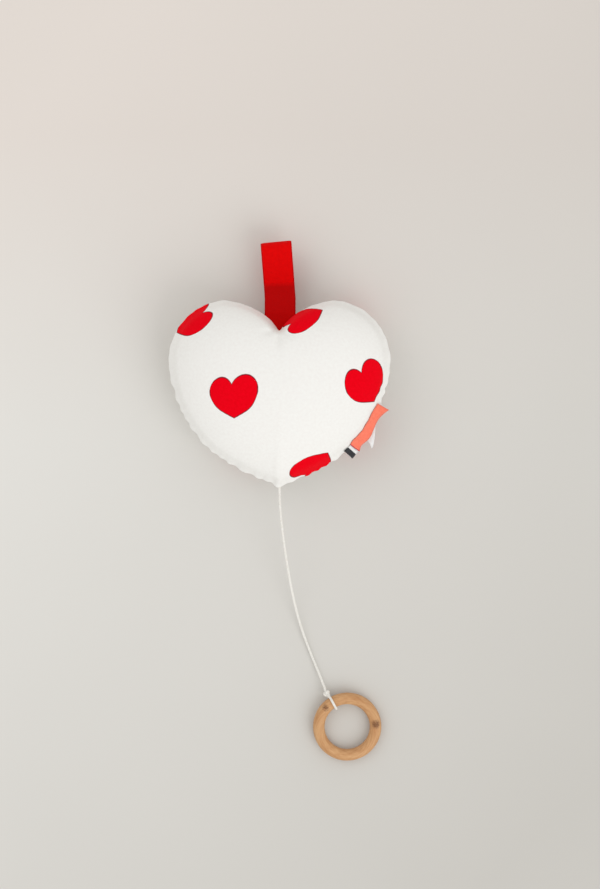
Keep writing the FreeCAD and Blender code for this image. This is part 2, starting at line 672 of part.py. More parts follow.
def make_comb():
    """Tuned steel comb: a plate sawn into teeth, lying on the comb bed with its tips over the cylinder."""
    body = new_body("tone_comb")
    pad(body, polygon(body, "XY_Plane", (
        ("0", "0"), ("comb_length", "0"), ("comb_length", COMB_WIDTH), ("0", COMB_WIDTH))), "comb_thickness")
    slot = polygon(body, "XY_Plane", (
        ("-comb_slot", "comb_pitch - comb_slot/2"), ("comb_tooth_length", "comb_pitch - comb_slot/2"),
        ("comb_tooth_length", "comb_pitch + comb_slot/2"), ("-comb_slot", "comb_pitch + comb_slot/2")), "comb_thickness")
    cut = pocket(body, slot, "comb_thickness")
    row = body.newObject("PartDesign::LinearPattern", "comb_slots")
    row.Originals = [cut]
    row.Direction = (slot, ["V_Axis"])
    bind(row, Length="comb_pitch*(comb_teeth - 2)", Occurrences="comb_teeth - 1")
    body.Tip = row
    holes = [(f"{x} - {COMB_X}", f"{z} - {COMB_BASE}") for x, z in COMB_SCREWS]
    pocket(body, circles(body, "XY_Plane", holes, "frame_screw_radius + screw_clearance", "comb_thickness"), "comb_thickness")
    place_in_movement(body, COMB_X, f"{COMB_Y} + comb_thickness", COMB_BASE, Rotation(Vector(1, 0, 0), 90))


def frame_screw():
    return screw(*[number(f"frame_screw_{n}") for n in ("radius", "head", "head_height", "length")])


def make_frame_screws():
    down = Placement(Vector(), Rotation(Vector(1, 0, 0), 180))
    back = Placement(Vector(), Rotation(Vector(1, 0, 0), 90))
    groups = (
        ("plate_screws", down, [(x, y, f"{TOP_PLATE} + top_plate_thickness") for x, y in PILLARS]),
        ("comb_screws", back, [(x, f"{COMB_Y} + comb_thickness", z) for x, z in COMB_SCREWS]),
        ("bracket_screws", down, [(x, y, "plate_thickness + bracket_wall") for x, y in BRACKET_SCREWS]),
    )
    for label, turn, places in groups:
        one = frame_screw()
        if label == "bracket_screws":
            one = one.cut(rod(3 * number("pillar_radius"), 99, Vector(0, 0, number("plate_thickness + bracket_wall"))))
        one.Placement = turn
        solid(label, Part.makeCompound([in_movement(one, *p) for p in places]))


# Cord spool with the mainspring inside it, turning on a fixed arbor

def make_spool():
    inner = "spool_flange - spool_wall"
    bore = "arbor_radius + running_clearance"
    body = new_body("cord_spool")
    web, top = f"{WEB_BASE} - {SPOOL_BASE}", f"{SPOOL_TOP} - {SPOOL_BASE}"
    revolve(body, (
        (bore, web), (inner, web), (inner, "0"), ("spool_flange", "0"), ("spool_flange", f"{web} + spool_wall"),
        ("spool_core", f"{web} + spool_wall"), ("spool_core", f"{top} - spool_wall"),
        ("spool_flange", f"{top} - spool_wall"), ("spool_flange", top), (bore, top),
    ))
    place_in_movement(body, SPOOL_X, "spool_y", SPOOL_BASE)
    lid = new_body("spring_cover")
    edge = f"{inner} - fixed_clearance"
    revolve(lid, ((bore, "0"), (edge, "0"), (edge, "spool_wall"), (bore, "spool_wall")))
    place_in_movement(lid, SPOOL_X, "spool_y", SPOOL_BASE)


def make_mainspring():
    """A flat strip wound from the arbor out to the barrel wall, each half turn about one of two centres."""
    strip, pitch = number("spring_strip"), number("spring_pitch")
    radius = number("arbor_radius") + 2 * number("running_clearance") + strip
    half_turns = int(2 * number("spring_turns"))
    pieces = []
    for k in range(half_turns):
        shift = 0 if k % 2 == 0 else pitch / 2
        inner = radius + k * pitch / 2
        ring = rod(inner + strip, number("spring_height")).cut(rod(inner, number("spring_height")))
        reach = 2 * (inner + strip)
        side = Part.makeBox(reach * 2, reach, 2 * reach, Vector(-reach, 0 if k % 2 == 0 else -reach, -reach))
        half = ring.common(side)
        half.translate(Vector(shift, 0, 0))
        pieces.append(half)
    spiral = pieces[0].fuse(pieces[1:]).removeSplitter()
    solid("mainspring", in_movement(spiral, SPOOL_X, "spool_y", f"{SPOOL_BASE} + spool_wall + axial_play/2"))


def make_spool_arbor():
    """The fixed post that the spool and great wheel turn on, held in both plates, with a hub for the spring."""
    body = new_body("spool_arbor")
    height = f"{TOP_PLATE} + top_plate_thickness"
    revolve(body, (("0", "0"), ("arbor_radius", "0"), ("arbor_radius", height), ("0", height)))
    place_in_movement(body, SPOOL_X, "spool_y")


def make_winding():
    """The turns of cord left on the spool, climbing its core from the level where the cord leaves."""
    radius, pitch, turns = number(WIND_RADIUS), number("winding_pitch"), number("winding_turns")
    steps = int(round(turns * 4))

    def point(quarters):
        angle = math.pi / 2 * quarters
        return Vector(radius * math.cos(angle), radius * math.sin(angle), pitch * quarters / 4)

    arcs = [Part.Arc(point(k), point(k + 0.5), point(k + 1)).toShape() for k in range(steps)]
    start = arcs[0].tangentAt(arcs[0].FirstParameter)
    section = Part.Wire(Part.makeCircle(number("cord_diameter") / 2, point(0), start))
    tube = Part.Wire(arcs).makePipeShell([section], True, False)
    solid("cord_winding", in_movement(tube, SPOOL_X, "spool_y", CORD_LEVEL))
    samples = [point(k / 8) for k in range(8 * steps + 1)]
    gaps = [
        (samples[i] - samples[j]).Length - number("cord_diameter")
        for i in range(len(samples)) for j in range(i + 16, len(samples))
    ]
    print(f"cord winding: {turns} turns, least gap to itself {min(gaps):.2f} mm")


def make_ratchet():
    """A saw-toothed wheel on the spool and the click spring under the great wheel that catches it one way."""
    teeth = int(number("ratchet_teeth"))
    tip, root = number("ratchet_radius"), number("ratchet_radius - ratchet_depth")
    corners = []
    for k in range(teeth):
        angle = 2 * math.pi * k / teeth
        for radius in (root, tip):
            corners.append(Vector(radius * math.cos(angle), radius * math.sin(angle), 0))
    height = number("ratchet_height")
    saw = Part.Face(Part.makePolygon(corners + corners[:1])).extrude(Vector(0, 0, height))
    saw = saw.cut(rod(number("arbor_radius + running_clearance"), height))
    solid("ratchet_wheel", in_movement(saw, SPOOL_X, "spool_y", SPOOL_TOP))
    sheet_height, reach = number("click_thickness"), number("ratchet_radius + click_gap")
    width, hang = number("click_width"), number("click_reach")
    ring = rod(reach + hang + width, sheet_height).cut(rod(reach + hang, sheet_height))
    finger = Part.makeBox(width, reach + hang, sheet_height, Vector(reach, -width / 2, 0))
    fingers = [finger, finger.copy()]
    fingers[1].rotate(Vector(), Vector(0, 0, 1), 180)
    inside = rod(reach + hang + width / 2, sheet_height)
    click = ring.fuse([one.common(inside) for one in fingers]).removeSplitter()
    solid("click_spring", in_movement(click, SPOOL_X, "spool_y", f"{GEAR_LEVEL} - click_thickness"))


# Gears: straight-flanked stub teeth with room to run

ADDENDUM, DEDENDUM, TOOTH_SHARE, FLANK_SLOPE = 0.75, 1.1, 0.42, 0.36


def gear(teeth, module, width, bore, phase):
    """A spur gear on the Z axis with the middle of one tooth at the angle phase, in degrees."""
    pitch_radius = module * teeth / 2
    half = TOOTH_SHARE * math.pi * module / 2
    levels = ((-DEDENDUM, 1), (ADDENDUM, 1), (ADDENDUM, -1), (-DEDENDUM, -1))
    corners = []
    for k in range(int(teeth)):
        middle = math.radians(phase) + 2 * math.pi * k / teeth
        for level, side in levels:
            radius = pitch_radius + level * module
            angle = middle - side * (half - FLANK_SLOPE * level * module) / radius
            corners.append(Vector(radius * math.cos(angle), radius * math.sin(angle), 0))
    blank = Part.Face(Part.makePolygon(corners + corners[:1])).extrude(Vector(0, 0, width))
    return blank.cut(rod(bore, width))


def meshed_phase(teeth, phase, bearing, other_teeth):
    """The phase of a gear that meshes with another one that lies in the direction bearing from it."""
    step = 360 / teeth
    off = (phase - bearing + step / 2) % step - step / 2
    return bearing + 180 - off * teeth / other_teeth + 180 / other_teeth


def make_drive():
    great, small, pinion = (number(f"{name}_teeth") for name in ("great", "cylinder", "pinion"))
    module, width = number("gear_module"), number("gear_width")
    first, second = number("cylinder_bearing"), number("governor_bearing")
    wheel = gear(great, module, width, number("arbor_radius + running_clearance"), first)
    web = number("spool_flange - spool_wall")
    for k in range(5):
        hole = rod(web / 4, width, Vector(web * 0.68, 0, 0))
        hole.rotate(Vector(), Vector(0, 0, 1), 72 * k + 36)
        wheel = wheel.cut(hole)
    solid("great_wheel", in_movement(wheel, SPOOL_X, "spool_y", GEAR_LEVEL))
    small_phase = meshed_phase(great, first, first, small)
    cylinder_gear = gear(small, module, width, number("cylinder_arbor + fixed_clearance"), small_phase)
    solid("cylinder_gear", in_movement(cylinder_gear, CYLINDER_X, CYLINDER_Y, GEAR_LEVEL))
    pinion_phase = meshed_phase(small, small_phase, second, pinion)
    bore = number("governor_shaft + fixed_clearance")
    leaf = gear(pinion, module, width + number("axial_play"), bore, pinion_phase)
    teeth = number("worm_wheel_teeth")
    worm_wheel = gear(teeth, number("worm_module"), number("worm_wheel_width"), bore, 90 + 180 / teeth)
    worm_wheel.translate(Vector(0, 0, width + number("axial_play")))
    solid("governor_wheel", in_movement(leaf.fuse(worm_wheel), GOVERNOR_X, GOVERNOR_Y, GEAR_LEVEL))


# Pinned cylinder

PIN_RINGS, PINS_A_RING, PIN_STEP = 18, 3, 137.5


def make_cylinder():
    body = new_body("cylinder_cap")
    inner = "cylinder_radius - cylinder_wall - fixed_clearance"
    bore = "cylinder_arbor + fixed_clearance"
    revolve(body, ((bore, "0"), (inner, "0"), (inner, "2*cylinder_wall"), (bore, "2*cylinder_wall")))
    place_in_movement(body, CYLINDER_X, CYLINDER_Y, CYLINDER_BASE)
    radius, wall, length = number("cylinder_radius"), number("cylinder_wall"), number(CYLINDER_LENGTH)
    cup = rod(radius, length).cut([rod(radius - wall, length - wall), rod(number(bore), length)])
    pins = []
    for ring in range(PIN_RINGS):
        height = number(f"{COMB_BASE} - {CYLINDER_BASE} + comb_pitch*{ring + 0.5}")
        for k in range(PINS_A_RING):
            angle = math.radians(PIN_STEP * (PINS_A_RING * ring + k))
            way = Vector(math.cos(angle), math.sin(angle), 0)
            pins.append(rod(number("pin_radius"), wall / 2 + number("pin_height"), way * (radius - wall / 2) + Vector(0, 0, height), way))
    solid("tune_cylinder", in_movement(cup.fuse(pins), CYLINDER_X, CYLINDER_Y, CYLINDER_BASE))
    arbor = new_body("cylinder_arbor_pin")
    height = f"{TOP_PLATE} + top_plate_thickness"
    revolve(arbor, (("0", "0"), ("cylinder_arbor", "0"), ("cylinder_arbor", height), ("0", height)))
    place_in_movement(arbor, CYLINDER_X, CYLINDER_Y)


# Governor: worm-driven air brake in a moulded bracket

def make_bracket():
    body = new_body("governor_bracket")
    wall = f"{WORM_Y} + bracket_setback"
    left, right = f"{GOVERNOR_X} - lug_span", f"{GOVERNOR_X} + lug_span"
    arm = "bracket_wall"
    bearing = f"{GEAR_LEVEL} - axial_play"
    block(body, (left, wall, "plate_thickness"), (right, f"{wall} + bracket_wall", f"{WORM_LEVEL} + 2*governor_shaft"))
    block(body, (left, f"{WORM_Y} - 2*bracket_wall", "plate_thickness"), (right, wall, "plate_thickness + bracket_wall"))
    top = f"{WORM_LEVEL} + 2*governor_shaft"
    for near, far in ((left, f"{left} + lug_thickness"), (f"{right} - lug_thickness", right)):
        block(body, (near, f"{WORM_Y} - 2*governor_shaft", f"{WORM_LEVEL} - 2*governor_shaft"), (far, wall, top))
    block(body, (f"{GOVERNOR_X} - {arm}", GOVERNOR_Y, f"{bearing} - bracket_wall"), (f"{GOVERNOR_X} + {arm}", wall, bearing))
    pad(body, circles(body, "XY_Plane", [(GOVERNOR_X, GOVERNOR_Y)], arm, f"{bearing} - bracket_wall"), "bracket_wall")
    hole = circles(body, "XY_Plane", [(GOVERNOR_X, GOVERNOR_Y)], "governor_shaft + running_clearance", bearing)
    pocket(body, hole, "bracket_wall")
    screws = circles(body, "XY_Plane", BRACKET_SCREWS, "frame_screw_radius + screw_clearance", "plate_thickness + bracket_wall")
    pocket(body, screws, "bracket_wall")
    shaft = body.newObject("PartDesign::SubtractiveCylinder", "governor_bracket_shaft")
    bind(shaft, Radius="governor_shaft + running_clearance", Height="4*lug_span")
    place(shaft, f"{GOVERNOR_X} - 2*lug_span", WORM_Y, WORM_LEVEL, Rotation(Vector(0, 1, 0), 90))
    place_in_movement(body)


# Turns a piece made on Z to lie along X with its own +X towards -Y
ALONG_X = Rotation(Vector(0, -1, 0), Vector(0, 0, -1), Vector(1, 0, 0), "ZXY")


def make_governor():
    arbor = new_body("governor_arbor")
    base = f"{GEAR_LEVEL} - axial_play - bracket_wall"
    height = f"{TOP_PLATE} + top_plate_thickness - ({base})"
    revolve(arbor, (("0", "0"), ("governor_shaft", "0"), ("governor_shaft", height), ("0", height)))
    place_in_movement(arbor, GOVERNOR_X, GOVERNOR_Y, base)

    pitch = math.pi * number("worm_module")
    length = pitch * number("worm_turns")
    middle, half = number("worm_radius"), number("worm_thread") / 2
    core, tip = middle - 1.5 * number("worm_module"), middle + ADDENDUM * number("worm_module")
    sink = core - number("governor_shaft") / 4
    flank = FLANK_SLOPE * (tip - middle)
    root = FLANK_SLOPE * (middle - sink)
    profile = [Vector(sink, 0, -half - root), Vector(tip, 0, -half + flank), Vector(tip, 0, half - flank),
               Vector(sink, 0, half + root)]
    thread = Part.Wire(Part.makeHelix(pitch, length, middle)).makePipeShell(
        [Part.Wire(Part.makePolygon(profile + profile[:1]))], True, True)
    bore = number("governor_shaft + fixed_clearance")
    ends = rod(core, length + pitch, Vector(0, 0, -pitch / 2)).cut(rod(bore, length + pitch, Vector(0, 0, -pitch / 2)))
    worm = ends.fuse(thread)
    worm.translate(Vector(0, 0, -length / 2))
    worm.Placement = Placement(Vector(), ALONG_X).multiply(worm.Placement)
    solid("governor_worm", in_movement(worm, GOVERNOR_X, WORM_Y, WORM_LEVEL))

    shaft = new_body("fan_shaft")
    start = "-lug_span - fan_length - 2*axial_play"
    revolve(shaft, (("0", start), ("governor_shaft", start), ("governor_shaft", "lug_span"), ("0", "lug_span")))
    place_in_movement(shaft, GOVERNOR_X, WORM_Y, WORM_LEVEL, ALONG_X)

    fan = new_body("governor_fan")
    hub = "2*governor_shaft"
    bore = "governor_shaft + fixed_clearance"
    revolve(fan, ((bore, "0"), (hub, "0"), (hub, "fan_length"), (bore, "fan_length")))
    for side, near, far in (("left", "-fan_radius", f"-{hub} + fan_thickness/2"), ("right", f"{hub} - fan_thickness/2", "fan_radius")):
        block(fan, (near, "-fan_thickness/2", "0"), (far, "fan_thickness/2", "fan_length"))
    place_in_movement(fan, f"{GOVERNOR_X} - lug_span - fan_length - axial_play", WORM_Y, WORM_LEVEL, ALONG_X)


# Cord and ring

def tube_along(points, diameter):
    """A round cord along straight runs joined by arcs as large as the runs allow; prints its tightest arc."""
    edges, radii, start = [], [], points[0]
    for before, here, after in zip(points, points[1:], points[2:]):
        to, on = (before - here), (after - here)
        reach = 0.45 * min(to.Length, on.Length)
        turn = math.pi - to.getAngle(on)
        radii.append(reach / math.tan(turn / 2))
        first, last = here + to.normalize() * reach, here + on.normalize() * reach
        inward = (to + on).normalize()
        middle = here + inward * (radii[-1] / math.cos(turn / 2) - radii[-1])
        edges += [Part.LineSegment(start, first).toShape(), Part.Arc(first, middle, last).toShape()]
        start = last
    edges.append(Part.LineSegment(start, points[-1]).toShape())
    path = Part.Wire(edges)
    section = Part.Wire(Part.makeCircle(diameter / 2, points[0], points[1] - points[0]))
    tube = path.makePipeShell([section], True, False)
    share = tube.Volume / (math.pi * diameter**2 / 4 * path.Length)
    print(f"free cord: {path.Length:.1f} mm, tightest arc {min(radii):.1f} mm, volume {share:.4f} of section by length")
    return tube


def make_cord_and_ring():
    radius = number("cord_diameter") / 2
    exit_point = Vector(0, number(EXIT_Y), number("seam_height"))
    inner_end = number("spool_y + case_y")
    solid("cord_lead", cord_passage(0, inner_end, exit_point.y))

    section, middle = number("ring_section"), number("ring_mid_radius")
    lift = number("cord_diameter + loop_gap")
    turn = number("ring_loop_angle")
    tilt = math.degrees(math.asin(lift / (2 * middle)))
    lie = Rotation(Vector(0, 0, 1), turn).multiply(Rotation(Vector(0, 1, 0), -tilt))
    centre = Vector(number("ring_x"), number("ring_y"), section + lift / 2)

    ring = new_body("wooden_ring")
    outline = circles(ring, "XZ_Plane", [("ring_mid_radius", "0")], "ring_section")
    turned = ring.newObject("PartDesign::Revolution", "wooden_ring_revolution")
    turned.Profile = outline
    turned.ReferenceAxis = (outline, ["V_Axis"])
    turned.Angle = 360
    ring.Placement = Placement(centre, lie)

    outward = lie.multVec(Vector(1, 0, 0))
    tangent = lie.multVec(Vector(0, 1, 0))
    tied = centre + outward * middle
    knot = tied + outward * number("knot_offset")
    route = [exit_point, exit_point - Vector(0, number("exit_run"), 0)] + [Vector(*p) for p in CORD_ROUTE]
    back = (route[-1] - knot).normalize()
    loop = Part.makeTorus(section + number("loop_gap") + radius, radius, tied, tangent)
    ball = Part.makeSphere(number("knot_radius"), knot)
    stub = rod(radius, number("knot_stub"), knot, back)
    solid("cord_knot", loop.fuse([ball, stub]))
    route.append(knot + back * number("knot_stub"))
    solid("pull_cord", tube_along(route, number("cord_diameter")))
    print(f"ring tied at {tied}, hinge along {tangent}")


make_heart()
make_strap()
solid("side_label", side_label())
solid("care_label", care_label())
make_case()
make_case_screws()
make_cord_bush()
make_base_plate()
make_top_plate()
make_comb()
make_frame_screws()
make_spool()
make_mainspring()
make_spool_arbor()
make_winding()
make_ratchet()
make_drive()
make_cylinder()
make_bracket()
make_governor()
make_cord_and_ring()
doc.recompute()

# Every object has to be sound before anything is written
for target in doc.Objects:
    if {"Invalid", "Error"} & set(target.State):
        raise RuntimeError(f"{target.Label} failed: {target.State}")
for target in parts:
    shape = target.Shape
    if shape.isNull() or not shape.isValid() or not shape.Solids:
        raise RuntimeError(f"{target.Label} has no valid solid")

os.makedirs("parts", exist_ok=True)
for target in parts:
    target.Shape.exportStep(os.path.join("parts", f"{target.Label}.step"))
print(f"{len(parts)} sub-parts written")
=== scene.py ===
# %% [markdown]
# A stuffed cloth heart that plays a tune. It hangs from a webbing loop, and a pull of the wooden ring
# winds the movement sewn inside it. This lesson dresses the CAD model: the frame is loaded first, and
# every piece made here sits where its CAD solid sits, in metres.

# %% Load the frame
import json
import math

import bmesh
import bpy
import numpy as np
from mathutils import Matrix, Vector
from mathutils.bvhtree import BVHTree
from mathutils.geometry import delaunay_2d_cdt


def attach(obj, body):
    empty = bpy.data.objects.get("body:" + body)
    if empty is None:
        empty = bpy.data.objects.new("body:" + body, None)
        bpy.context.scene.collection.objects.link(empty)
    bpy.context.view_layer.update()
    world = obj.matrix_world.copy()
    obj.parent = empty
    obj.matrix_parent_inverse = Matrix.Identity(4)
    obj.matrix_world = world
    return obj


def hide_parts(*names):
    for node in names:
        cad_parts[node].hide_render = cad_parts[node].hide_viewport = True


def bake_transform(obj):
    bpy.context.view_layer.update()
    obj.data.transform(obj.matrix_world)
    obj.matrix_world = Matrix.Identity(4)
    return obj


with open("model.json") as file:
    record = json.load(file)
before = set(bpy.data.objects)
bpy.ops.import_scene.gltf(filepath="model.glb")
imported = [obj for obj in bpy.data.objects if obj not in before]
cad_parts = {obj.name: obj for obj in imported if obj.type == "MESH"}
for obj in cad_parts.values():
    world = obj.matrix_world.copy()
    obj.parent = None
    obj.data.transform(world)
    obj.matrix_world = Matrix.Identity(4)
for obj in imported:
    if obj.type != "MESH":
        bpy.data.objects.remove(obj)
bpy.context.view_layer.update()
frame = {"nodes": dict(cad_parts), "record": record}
scene = bpy.context.scene
scene.view_settings.view_transform = "Standard"
MM = 0.001
SEAM = 34 * MM

# %% [markdown]
# The photograph looks straight down on the toy. A long lens high above keeps the round heart from
# bulging towards the viewer. One pixel is 0.806 mm at the height of the seam, so the lens follows from
# the height of the frame.

# %% Camera
PIXEL = 0.806 * MM
FRAME_PIXELS = (600, 889)
CAMERA_HEIGHT = 1.7
FRAME_CENTRE = Vector((20.5 * PIXEL, -67.5 * PIXEL))
camera_data = bpy.data.cameras.new("overhead")
camera_data.sensor_fit = "VERTICAL"
camera_data.sensor_height = 36
camera_data.lens = 36 * (CAMERA_HEIGHT - SEAM) / (FRAME_PIXELS[1] * PIXEL)
camera = bpy.data.objects.new("overhead", camera_data)
camera.location = (FRAME_CENTRE.x, FRAME_CENTRE.y, CAMERA_HEIGHT)
scene.collection.objects.link(camera)
scene.camera = camera
print("lens in mm:", round(camera_data.lens, 1))

# %% [markdown]
# Every finish below is a small node tree. Two helpers keep the trees readable: one adds a node and
# wires or sets its inputs, and one starts a material with its principled shader. Colours are written as
# they look on screen and turned into the linear values that Blender works in.

# %% Helpers for finishes


def colour(red, green, blue):
    """A colour as it looks on screen, 0 to 255, as Blender's linear values."""
    linear = []
    for part in (red, green, blue):
        part /= 255
        linear.append(part / 12.92 if part <= 0.04045 else ((part + 0.055) / 1.055) ** 2.4)
    return (*linear, 1.0)


def add(tree, kind, inputs=None, **settings):
    """Adds a node; an input that is a socket is wired, and any other is set."""
    node = tree.nodes.new(kind)
    for name, value in settings.items():
        setattr(node, name, value)
    for key, value in (inputs or {}).items():
        if isinstance(value, bpy.types.NodeSocket):
            tree.links.new(value, node.inputs[key])
        else:
            node.inputs[key].default_value = value
    return node


def sums(tree, operation, first, second=0.0, third=0.0):
    """One step of arithmetic in a tree."""
    inputs = {0: first, 1: second}
    if operation in ("MULTIPLY_ADD", "COMPARE", "SMOOTH_MIN", "SMOOTH_MAX"):
        inputs[2] = third
    return add(tree, "ShaderNodeMath", inputs, operation=operation).outputs[0]


def new_finish(name, **sockets):
    """A material with a principled shader, whose even values sit on the shader's own sockets."""
    finish = bpy.data.materials.new(name)
    finish.use_nodes = True
    shader = finish.node_tree.nodes["Principled BSDF"]
    for key, value in sockets.items():
        shader.inputs[key.replace("_", " ")].default_value = value
    return finish, finish.node_tree, shader


def blend_colours(tree, share, first, second):
    mix = add(tree, "ShaderNodeMix", {0: share}, data_type="RGBA")
    for socket, value in ((mix.inputs[6], first), (mix.inputs[7], second)):
        if isinstance(value, bpy.types.NodeSocket):
            tree.links.new(value, socket)
        else:
            socket.default_value = value
    return mix.outputs[2]


def bump(tree, shader, height, strength, distance):
    made = add(tree, "ShaderNodeBump", {"Height": height, "Strength": strength, "Distance": distance})
    tree.links.new(made.outputs[0], shader.inputs["Normal"])


def noise(tree, place, scale, detail=3.0, rough=0.5):
    inputs = {"Vector": place, "Scale": scale, "Detail": detail, "Roughness": rough}
    return add(tree, "ShaderNodeTexNoise", inputs).outputs[0]


def object_place(tree):
    return add(tree, "ShaderNodeTexCoord").outputs["Object"]


def ramp(tree, value, low, high, bottom=0.0, top=1.0):
    """A value between low and high, stretched to run from bottom to top."""
    inputs = {0: value, 1: low, 2: high, 3: bottom, 4: top}
    return add(tree, "ShaderNodeMapRange", inputs).outputs[0]


# %% [markdown]
# The pull cord is a white braid, 2 mm thick. Its route is the CAD route: straight out of the tip, down
# to the floor, and along it to the ring. A NURBS spline through those control points gives its smooth
# line. The braid is real geometry, made with Geometry Nodes: eight strands wind round the line, four
# each way, over a plain core.

# %% Pull cord
CORD_RADIUS = 1.0 * MM
EXIT = Vector((0, -90.0, 34.0)) * MM
TIED = Vector((43.0316, -265.8205, 7.0)) * MM
OUTWARD = Vector((-0.5234, 0.8507, 0.0484)).normalized()
KNOT = TIED + OUTWARD * 8.4 * MM
CORD_END = Vector((37.2, -255.07, 6.43)) * MM
CORD_ROUTE = [EXIT, Vector((0, -98.0, 34.0)) * MM] + [
    Vector(point) * MM
    for point in (
        (0.6, -107.0, 32.6), (2.2, -124.5, 28.6), (5.0, -145.0, 21.6), (8.6, -168.0, 13.4),
        (13.2, -190.0, 6.9), (19.0, -209.5, 3.2), (25.6, -227.0, 1.7), (31.6, -241.0, 2.6),
    )
] + [CORD_END]


def spline_object(name, points, cyclic=False, fine=24):
    """A smooth line through space, with the points as its control points."""
    line = bpy.data.curves.new(name, "CURVE")
    line.dimensions = "3D"
    line.resolution_u = fine
    spline = line.splines.new("NURBS")
    spline.points.add(len(points) - 1)
    for at, point in zip(spline.points, points):
        at.co = (*point, 1.0)
    spline.order_u = 3
    spline.use_endpoint_u = not cyclic
    spline.use_cyclic_u = cyclic
    made = bpy.data.objects.new(name, line)
    scene.collection.objects.link(made)
    return made


def evaluated_mesh(made):
    """The plain mesh that an object's modifiers or spline give."""
    ready = made.evaluated_get(bpy.context.evaluated_depsgraph_get())
    return bpy.data.meshes.new_from_object(ready)


def new_piece(name, mesh, finish=None, smooth=True):
    piece = bpy.data.objects.new(name, mesh)
    scene.collection.objects.link(piece)
    if finish:
        mesh.materials.clear()
        mesh.materials.append(finish)
    for face in mesh.polygons:
        face.use_smooth = smooth
    return piece


cord_finish, tree, shader = new_finish("braided_cotton", Roughness=0.8, Sheen_Weight=0.25)
fuzz = noise(tree, object_place(tree), 900, 2)
tree.links.new(
    blend_colours(tree, ramp(tree, fuzz, 0.3, 0.7), colour(226, 223, 215), colour(243, 242, 238)),
    shader.inputs["Base Color"],
)
bump(tree, shader, fuzz, 0.25, 0.0002)


def braid_tree():
    """Winds strands round any line: half of them one way, half the other, over a core."""
    tree = bpy.data.node_groups.new("braid", "GeometryNodeTree")
    face = tree.interface
    face.new_socket("Line", in_out="INPUT", socket_type="NodeSocketGeometry")
    for name, kind, value in (
        ("Radius", "Float", CORD_RADIUS), ("Strand radius", "Float", 0.36 * MM), ("Lay", "Float", 5.5 * MM),
        ("Points a turn", "Float", 14.0), ("Finish", "Material", None),
    ):
        socket = face.new_socket(name, in_out="INPUT", socket_type=f"NodeSocket{kind}")
        if value is not None:
            socket.default_value = value
    face.new_socket("Braid", in_out="OUTPUT", socket_type="NodeSocketGeometry")
    given = add(tree, "NodeGroupInput").outputs
    length = add(tree, "GeometryNodeCurveLength", {0: given["Line"]}).outputs[0]
    turns = sums(tree, "DIVIDE", length, given["Lay"])
    count = sums(tree, "MULTIPLY", turns, given["Points a turn"])
    fine = add(tree, "GeometryNodeResampleCurve", {"Curve": given["Line"], "Count": count}).outputs[0]
    tangent = add(tree, "GeometryNodeInputTangent").outputs[0]
    normal = add(tree, "GeometryNodeInputNormal").outputs[0]
    side = add(tree, "ShaderNodeVectorMath", {0: tangent, 1: normal}, operation="CROSS_PRODUCT").outputs[0]
    share = add(tree, "GeometryNodeSplineParameter").outputs["Factor"]
    turned = sums(tree, "MULTIPLY", sums(tree, "MULTIPLY", share, turns), 2 * math.pi)
    circle = "GeometryNodeCurvePrimitiveCircle"
    strand_ring = add(tree, circle, {"Resolution": 6, "Radius": given["Strand radius"]}).outputs[0]
    joined = add(tree, "GeometryNodeJoinGeometry")
    middle = sums(tree, "SUBTRACT", given["Radius"], given["Strand radius"])
    for way in (1, -1):
        for k in range(4):
            phase = k * math.pi / 2 + (0.0 if way > 0 else math.pi / 4)
            angle = sums(tree, "MULTIPLY_ADD", turned, float(way), phase)
            lay_over = sums(tree, "MULTIPLY_ADD", turned, 4.0, k * math.pi + way * math.pi / 2)
            reach = sums(tree, "MULTIPLY_ADD", sums(tree, "COSINE", lay_over), 0.1 * MM, middle)
            along = []
            for axis, turn in ((normal, "COSINE"), (side, "SINE")):
                size = sums(tree, "MULTIPLY", reach, sums(tree, turn, angle))
                scaled = add(tree, "ShaderNodeVectorMath", {0: axis, "Scale": size}, operation="SCALE")
                along.append(scaled.outputs[0])
            inputs = {0: along[0], 1: along[1]}
            offset = add(tree, "ShaderNodeVectorMath", inputs, operation="ADD").outputs[0]
            wound = add(tree, "GeometryNodeSetPosition", {"Geometry": fine, "Offset": offset}).outputs[0]
            inputs = {"Curve": wound, "Profile Curve": strand_ring, "Fill Caps": True}
            tree.links.new(add(tree, "GeometryNodeCurveToMesh", inputs).outputs[0], joined.inputs[0])
    core_radius = sums(tree, "MULTIPLY", given["Radius"], 0.82)
    core_ring = add(tree, circle, {"Resolution": 10, "Radius": core_radius}).outputs[0]
    core_count = sums(tree, "MULTIPLY", turns, 6.0)
    inputs = {"Curve": given["Line"], "Count": core_count}
    core_line = add(tree, "GeometryNodeResampleCurve", inputs).outputs[0]
    inputs = {"Curve": core_line, "Profile Curve": core_ring, "Fill Caps": True}
    tree.links.new(add(tree, "GeometryNodeCurveToMesh", inputs).outputs[0], joined.inputs[0])
    real = add(tree, "GeometryNodeRealizeInstances", {0: joined.outputs[0]}).outputs[0]
    done = add(tree, "GeometryNodeSetMaterial", {"Geometry": real, "Material": given["Finish"]}).outputs[0]
    add(tree, "NodeGroupOutput", {0: done})
    return tree


def socket_name(tree, name):
    """The identifier by which a modifier knows a tree's input."""
    items = tree.interface.items_tree
    return next(item.identifier for item in items if item.name == name and item.in_out == "INPUT")


BRAID = braid_tree()


def braided(name, line, finish):
    """Turns a line into a braided piece and returns it with the points of the line."""
    path = [vertex.co.copy() for vertex in evaluated_mesh(line).vertices]
    wind = line.modifiers.new("braid", "NODES")
    wind.node_group = BRAID
    wind[socket_name(BRAID, "Finish")] = finish
    mesh = evaluated_mesh(line)
    bpy.data.objects.remove(line)
    return new_piece(name, mesh, finish), path


cord, cord_path = braided("pull_cord_braid", spline_object("cord_line", CORD_ROUTE), cord_finish)

